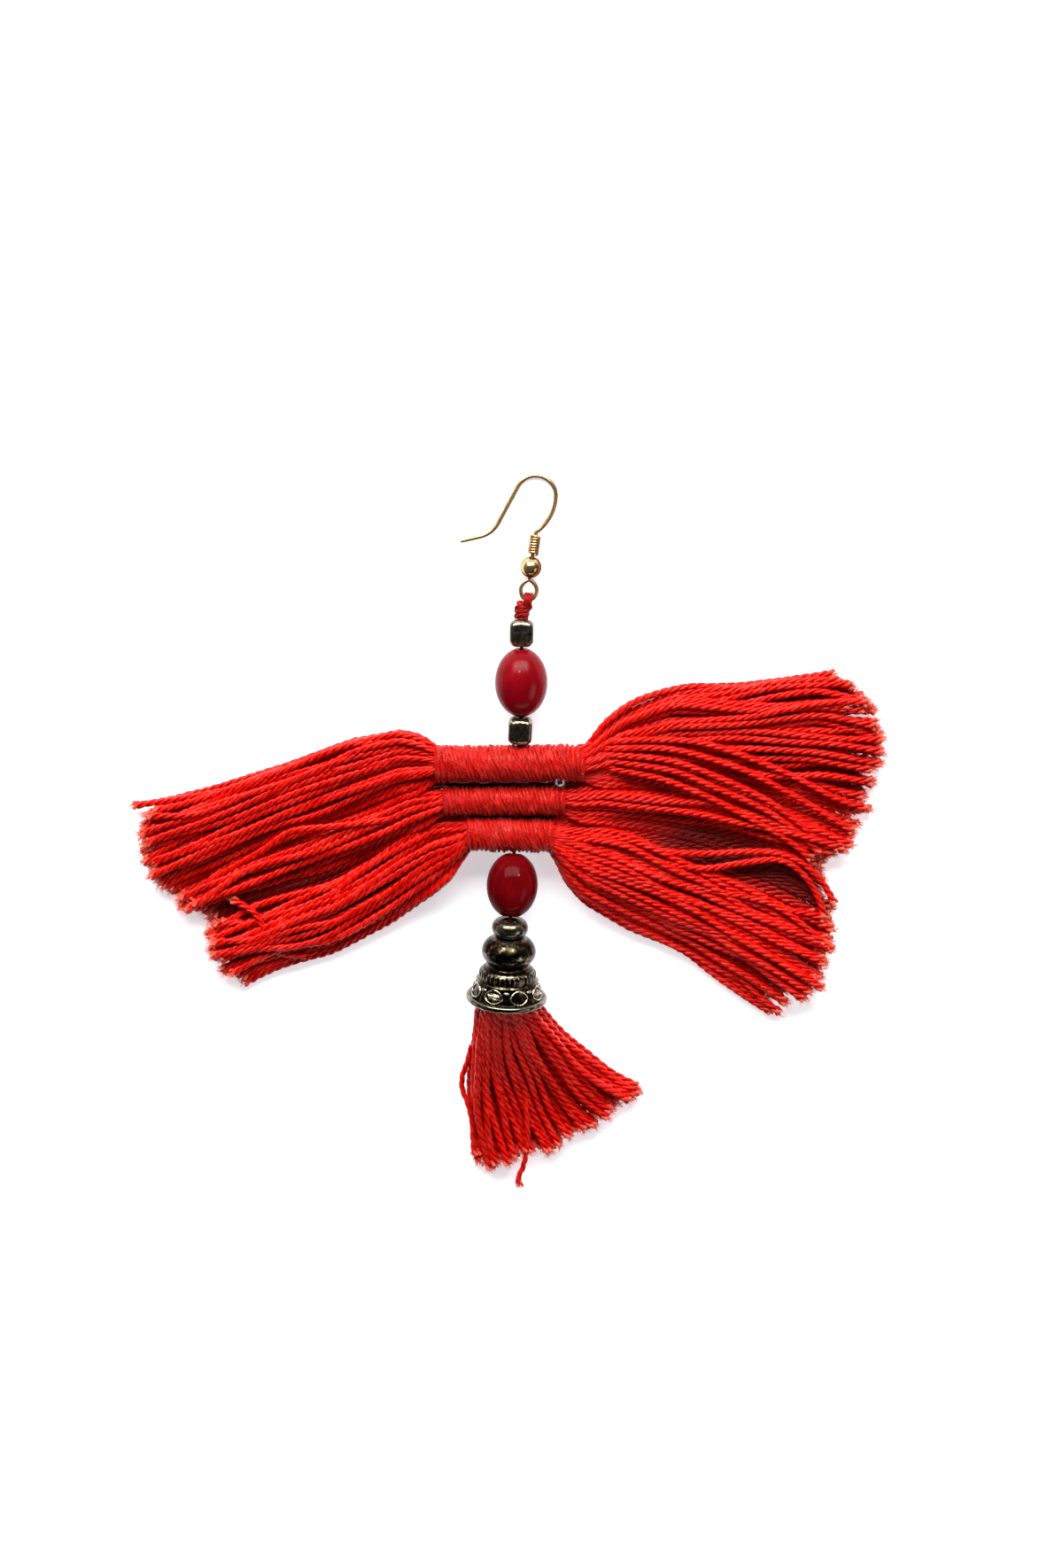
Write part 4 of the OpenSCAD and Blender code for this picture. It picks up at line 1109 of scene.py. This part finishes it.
wire = hook_points()
wire_thick = np.ones(len(wire))
wire_thick[-4:] = (1.0, 0.93, 0.72, 0.3)
drop = [IN_HOOK @ Vector((LOOP_RADIUS * sin(a) * (1 - 0.3 * max(0, cos(a)) ** 2),
                          LOOP_APEX / 2 * (1 + cos(a)), 0)) for a in range(0, 360, 8)]
strung("hook_wire", [Course(wire, wire_thick), Course(drop, 0.93, closed=True)], wires,
       gold_wire, "gold_wire", "ear_hook", wire_radius=WIRE_D / 2 * MM, wire_sides=20)

# The coil's wire shows finer than its solid, and begins at an angle on the shank
COIL_WIRE_SEEN, COIL_FIRST = 0.40, -60
coil_r = (COIL_D - COIL_WIRE_SEEN) / 2
coil = []
for a in range(COIL_FIRST, 360 * COIL_TURNS + COIL_FIRST, 15):
    t = (a - COIL_FIRST) / (360 * COIL_TURNS)
    place = on_shank(COIL_UP + 0.24 + t * (COIL_LEN - 0.48))
    coil.append(place @ Vector((coil_r * cos(a), coil_r * sin(a), 0.0)))
strung("hook_coil_turns", [Course(coil)], wires, gold_ball, "gold_wire", "hook_coil",
       wire_radius=COIL_WIRE_SEEN / 2 * MM, wire_sides=12)


# Turned beads and cap

def skin(name, places, rows, sides, closed):
    """A mesh over rows of points. Open rows get a face at both ends."""
    faces = [(i * sides + j, i * sides + (j + 1) % sides,
              (i + 1) % rows * sides + (j + 1) % sides, (i + 1) % rows * sides + j)
             for i in range(rows if closed else rows - 1) for j in range(sides)]
    if not closed:
        faces += [tuple(range(sides)), tuple(range((rows - 1) * sides, rows * sides))]
    mesh = bpy.data.meshes.new(name)
    mesh.from_pydata([p * MM for p in places], [], faces)
    return mesh


def righted(mesh, worn, merging=True):
    """Faces outwards, and how far the finish is rubbed off kept on the points."""
    shape = bmesh.new()
    shape.from_mesh(mesh)
    if merging:
        bmesh.ops.remove_doubles(shape, verts=shape.verts, dist=1e-7)
    bmesh.ops.recalc_face_normals(shape, faces=shape.faces)
    shape.to_mesh(mesh)
    shape.free()
    rubbed = np.broadcast_to(worn, len(mesh.vertices)).tolist()
    mesh.attributes.new("worn", "FLOAT", "POINT").data.foreach_set("value", rubbed)
    return mesh


BORE = THREAD_D / 2 + GAP


def turned(name, profile, place, material, slot, node, steps=96):
    """A drilled piece turned about Z. A row of the profile is (radius, height), round its whole
    section, bore included, then how worn it is and how square, except at the bore."""
    profile = np.array(profile, float)
    rows, columns = profile.shape
    angles = np.linspace(0, math.tau, steps, endpoint=False)
    radii = np.repeat(profile[:, :1], steps, 1)
    if columns > 3:
        power = profile[:, 3:]
        stretch = (np.abs(np.cos(angles)) ** power + np.abs(np.sin(angles)) ** power) ** (-1 / power)
        blend = np.clip((radii - BORE) / (radii.max() - BORE) * 1.4, 0, 1)
        radii = radii * (1 + (stretch - 1) * blend)
    heights = np.repeat(profile[:, 1:2], steps, 1)
    places = np.stack([radii * np.cos(angles), radii * np.sin(angles), heights], -1)
    worn = profile[:, 2] if columns > 2 else np.zeros(rows)
    mesh = righted(skin(name, places.reshape(-1, 3), rows, steps, True), worn.repeat(steps), False)
    mesh.shade_smooth()
    mesh.transform(in_metres(place))
    mesh.materials.append(material)
    return settle(shown(name, mesh), slot, node)


def bore_wall(low, high, radius=BORE):
    return [(radius, z) for z in np.linspace(high, low, 4)]


def oval_profile(width, length):
    """An oval with slightly cut ends and a countersunk bore."""
    half = length / 2
    edge = math.asin(1 / 1.04)
    rows = [(width / 2 * math.cos(a), half * 1.04 * math.sin(a))
            for a in np.linspace(-edge, edge, 64)]
    rows = [row for row in rows if row[0] > BORE + 0.25]
    return [(BORE + 0.05, 0.02 - half), *rows, (BORE + 0.05, half - 0.02),
            *bore_wall(0.25 - half, half - 0.25)]


turned("oval_bead_upper_ruby", oval_profile(OVAL_UPPER_W, OVAL_UPPER_LEN - GAP), ON_OVAL_UPPER,
       ruby_upper, "ruby_bead", "oval_bead_upper", 128)
turned("oval_bead_lower_ruby", oval_profile(OVAL_LOWER_W, OVAL_LOWER_LEN),
       on_lower_run(GAP + OVAL_LOWER_LEN / 2), ruby_lower_shaded, "ruby_bead", "oval_bead_lower", 128)


def cube_profile():
    """Section of a cube bead with rounded bevels."""
    h, r, edge = CUBE_LEN / 2, CUBE_W / 2, 0.95
    half = [(BORE, 0.12 - h, 0.3, 3), (BORE + 0.1, -h, 0.8, 3)]
    half += [(r - edge * 0.95 + edge * 0.95 * cos(a), edge - h + edge * sin(a),
              0.2 + 0.8 * cos(2 * (a + 40)) ** 2, 2.3 + 2.9 * (1 + sin(a)))
             for a in range(-90, 1, 15)]
    half.append((r, 0.3 * edge - h * 0.5, 0.1, 5.4))
    mirrored = [(row[0], -row[1], *row[2:]) for row in half[::-1]]
    return [*half, *mirrored, (BORE, h * 0.5, 0, 3), (BORE, -h * 0.5, 0, 3)]


turned("cube_bead_upper_metal", cube_profile(),
       on_cube_run(KNOT_DOWN + KNOT_LEN + GAP + CUBE_LEN / 2), dark_metal, "dark_metal",
       "cube_bead_upper")
turned("cube_bead_lower_metal", cube_profile(), on_level(Y_CUBE_LOWER + CUBE_LEN / 2),
       dark_metal, "dark_metal", "cube_bead_lower")

ball_rows = [(BALL_D / 2 * math.cos(a), BALL_D / 2 * math.sin(a))
             for a in np.linspace(-1.26, 1.26, 48)]
turned("hook_ball_gold", ball_rows + bore_wall(-1.38, 1.38, 0.41), on_shank(BALL_UP),
       gold_ball, "gold_wire", "hook_ball", 72)

SPACER_ROUND = SPACER_LEN * 0.6
spacer_rows = [(SPACER_D / 2 - SPACER_ROUND * (1 - cos(a)), SPACER_LEN / 2 + SPACER_ROUND * sin(a),
                0.6 if abs(a) > 46 else 0.15) for a in np.linspace(-54, 54, 28)]
spacer_bore = [(BORE + 0.5, SPACER_LEN - 0.02), (BORE + 0.15, SPACER_LEN - 0.1),
               *bore_wall(0.2, SPACER_LEN - 0.2), (BORE + 0.15, 0.1), (BORE + 0.5, 0.02)]
turned("spacer_metal", spacer_rows + [(r, z, 0.2) for r, z in spacer_bore], on_cap_run(GAP),
       dark_metal, "dark_metal", "spacer")

# Cap: share of its length, share of its rim radius, how much the finish is rubbed off
CAP = [(0.0, 0.30, 0.2), (0.008, 0.36, 0.5), (0.03, 0.42, 0.6), (0.07, 0.53, 0.2),
       (0.12, 0.605, 0.2), (0.18, 0.655, 0.3), (0.24, 0.672, 0.5), (0.30, 0.655, 0.3),
       (0.36, 0.60, 0.2), (0.41, 0.53, 0.3), (0.44, 0.505, 0.1), (0.465, 0.52, 0.0),
       (0.49, 0.60, 0.3), (0.51, 0.64, 0.6), (0.53, 0.675, 0.3), (0.56, 0.69, 0.2),
       (0.62, 0.70, 0.1), (0.655, 0.712, 0.2), (0.67, 0.74, 0.5), (0.70, 0.765, 0.2),
       (0.76, 0.79, 0.1), (0.83, 0.83, 0.1), (0.88, 0.865, 0.2), (0.905, 0.885, 0.3),
       (0.912, 0.945, 0.6), (0.922, 0.985, 0.7), (0.94, 1.0, 0.5), (0.965, 1.0, 0.5),
       (0.985, 0.99, 0.7), (0.995, 0.965, 0.8), (0.998, 0.93, 0.5), (0.99, 0.885, 0.2),
       (0.88, 0.80, 0.0), (0.70, 0.66, 0.0), (0.55, 0.36, 0.0), (0.50, 0.30, 0.0),
       (0.48, 0.17, 0.0), (0.24, 0.17, 0.0), (0.02, 0.17, 0.0), (0.0, 0.19, 0.1)]
CAP_PLACE = on_cap_run(SPACER_LEN + 2 * GAP)
RIM_R = CAP_RIM_D / 2


def rounded_rows(rows):
    """Catmull-Rom points between the rows of a closed section."""
    rows = np.array(rows)
    count = len(rows)
    return np.array([between(*(rows[(k + n) % count] for n in (-1, 0, 1, 2)), t)
                     for k in range(count) for t in (0, 0.34, 0.67)])


cap_rows = rounded_rows(CAP)
turned("cap_bell", np.stack([cap_rows[:, 1] * RIM_R, cap_rows[:, 0] * CAP_LEN,
                             np.clip(cap_rows[:, 2], 0, 1)], 1),
       CAP_PLACE, antique_metal, "antique_metal", "bead_cap", 144)


def bell_radius(share):
    """Outer radius of the cap at a share of its length."""
    outer = CAP[:30]
    return float(np.interp(share, [row[0] for row in outer], [row[1] for row in outer])) * RIM_R


def on_bell(degrees, share, lift=0.0):
    r = bell_radius(share) + lift
    return Vector((r * cos(degrees), r * sin(degrees), share * CAP_LEN))


def rib_mesh(shares, half_width, height, lean=0.0):
    """A raised rib that follows the bell along its length, closed at both ends."""
    count, sides = len(shares), 6
    places = []
    for k, share in enumerate(shares):
        grow = math.sin(math.pi * (k + 0.35) / (count - 0.3))
        places += [Vector((bell_radius(share) - 0.05 + height * grow * sin(a),
                           half_width * grow * cos(a) + lean * (k / (count - 1) - 0.5),
                           share * CAP_LEN)) for a in range(0, 360, 360 // sides)]
    return righted(skin("rib", places, count, sides, False), 0.5)


def swept(points, radius, sides, closed=False):
    """A bead of metal along points on the bell."""
    count = len(points)
    places = []
    for k, p in enumerate(points):
        a = points[(k + 1) % count] if closed or k < count - 1 else p
        b = points[k - 1] if closed or k > 0 else p
        out = Vector((p.x, p.y, 0)).normalized()
        side = (a - b).normalized().cross(out).normalized()
        r = radius if closed or 0 < k < count - 1 else radius * 0.4
        places += [p + side * r * cos(t) + out * r * sin(t)
                   for t in np.linspace(0, 360, sides, endpoint=False)]
    return righted(skin("bead", places, count, sides, closed), 1.0)


def set_round(made, copies, first=0.0):
    """Copies of a piece of relief, evenly round the cap."""
    return settle(worked(made, around, CAP_PLACE, copies=copies,
                         first_angle=math.radians(first), finish=antique_metal), "antique_metal")


# Flutes of the ring and of the shoulder, and the rope edge
for name, shares, half_width, height, lean, copies, first in (
        ("cap_ring_flutes", np.linspace(0.12, 0.36, 7), 0.16, 0.07, 0.5, 40, 0),
        ("cap_shoulder_flutes", np.linspace(0.495, 0.655, 6), 0.25, 0.17, 0.0, 36, 5),
        ("cap_rope_edge", np.linspace(0.915, 0.99, 5), 0.24, 0.07, 0.5, 60, 0)):
    set_round(shown(name, rib_mesh(shares, half_width, height, lean)), copies, first)

# A petal's outline is a pointed arch towards the neck, and round towards the rim
PETALS, FIRST_PETAL = 8, 22.5
petal = [on_bell(15.5 * sin(a) * (1 - 0.12 * cos(a)),
                 0.795 - 0.088 * cos(a) * (1 + 0.1 * cos(2 * a)), 0.08)
         for a in np.linspace(0, 360, 22, endpoint=False)]
set_round(shown("cap_petals", swept(petal, 0.14, 6, True)), PETALS, FIRST_PETAL)


def leaf_ribs():
    """Ribs of the leaf inside every other petal."""
    ribs = []
    for k in range(-3, 4):
        low = on_bell(k * 3.2 - 4.0, 0.845, 0.05)
        high = on_bell(k * 3.2 + 4.0, 0.745, 0.05)
        ribs.append(swept([low, low.lerp(high, 0.5) * 1.004, high], 0.11, 5))
    for k in (-1, 0, 1):
        ribs.append(swept([on_bell(-11, 0.80 + 0.03 * k, 0.06), on_bell(0, 0.79 + 0.03 * k, 0.1),
                           on_bell(11, 0.78 + 0.03 * k, 0.06)], 0.10, 5))
    return ribs


def joined(name, meshes):
    """One object from several meshes, with what is kept on their points."""
    pieces = [shown("bit", mesh) for mesh in meshes]
    with bpy.context.temp_override(active_object=pieces[0], object=pieces[0],
                                   selected_editable_objects=pieces, selected_objects=pieces):
        bpy.ops.object.join()
    pieces[0].name = name
    return pieces[0]


set_round(joined("cap_leaves", leaf_ribs()), PETALS // 2, FIRST_PETAL)

nub = bpy.data.meshes.new("nub")
nub_shape = bmesh.new()
bmesh.ops.create_uvsphere(nub_shape, u_segments=12, v_segments=8, radius=1.0)
nub_shape.to_mesh(nub)
nub_shape.free()
nub.transform(shift(*(on_bell(0, 0.735) * MM))
              @ Matrix.Diagonal((0.22 * MM, 0.5 * MM, 0.24 * MM, 1)))
set_round(shown("cap_nubs", righted(nub, 1.0)), PETALS)


# Floor, light and camera

floor_mesh = bpy.data.meshes.new("floor")
floor_mesh.from_pydata([(-2, -2, 0), (2, -2, 0), (2, 2, 0), (-2, 2, 0)], [], [(0, 1, 2, 3)])
floor_mesh.materials.append(finish("pale_floor", paper))
floor = shown("floor", floor_mesh)

# Soft boxes that face the earring: place, width, height, power, colour
for name, where, width, height, power, colour in (
        ("key_light", (-0.06, 0.68, 0.46), 1.00, 0.44, 20.0, (1.0, 0.99, 0.97)),
        ("side_light", (0.60, -0.22, 0.42), 0.45, 0.28, 1.3, (1.0, 0.98, 0.97)),
        ("front_light", (0.10, -0.70, 0.34), 0.70, 0.10, 0.9, (1.0, 0.98, 0.97))):
    lamp = bpy.data.lights.new(name, "AREA")
    lamp.shape = "RECTANGLE"
    lamp.size, lamp.size_y = width, height
    lamp.energy = power
    lamp.color = colour
    facing = (-Vector(where)).to_track_quat("-Z", "Y").to_matrix().to_4x4()
    shown(name, lamp).matrix_world = Matrix.Translation(where) @ facing

# Room: dark overhead, where polished metal mirrors the camera's side, and paler all round
world = bpy.data.worlds.new("studio")
bpy.context.scene.world = world
world.use_nodes = True
sky = world.node_tree
way = put("ShaderNodeTexCoord", output="Generated", tree=sky)
height = put("ShaderNodeSeparateXYZ", {"Vector": way}, "Z")
room = graded(height, (0.0, (0.62, 0.64, 0.68)), (0.45, (0.42, 0.43, 0.46)),
              (0.80, (0.07, 0.07, 0.075)), (1.0, (0.03, 0.03, 0.03)))
sides = vector_of("DOT_PRODUCT", way, (-0.3, 0.95, 0.0))
room = mixed(fit_range(sides, -0.5, 0.6), (0.01, 0.01, 0.01), room)
fill(sky.nodes["Background"], {"Color": room, "Strength": 0.55})

# The photograph looks down at 75 degrees, turned by 3 degrees; its frame is 236 mm tall
TILT, ROLL, AWAY, FRAME_HEIGHT, SENSOR = 15.0, 3.0, 1200.0, 236.0, 36.0
aim = Vector((2.75, 6.33, 0.0))
back = Vector((0, sin(TILT), cos(TILT)))
right = Vector((cos(ROLL), sin(ROLL) * cos(TILT), -sin(ROLL) * sin(TILT)))
camera_data = bpy.data.cameras.new("camera")
camera_data.sensor_width = SENSOR
camera_data.lens = SENSOR * AWAY / FRAME_HEIGHT
camera_data.clip_start, camera_data.clip_end = 0.01, 10.0
camera = shown("camera", camera_data)
turned_to = Matrix((right, back.cross(right), back)).transposed().to_4x4()
camera.matrix_world = Matrix.Translation((aim + AWAY * back) * MM) @ turned_to
bpy.context.scene.camera = camera
bpy.context.scene.view_settings.view_transform = "Standard"
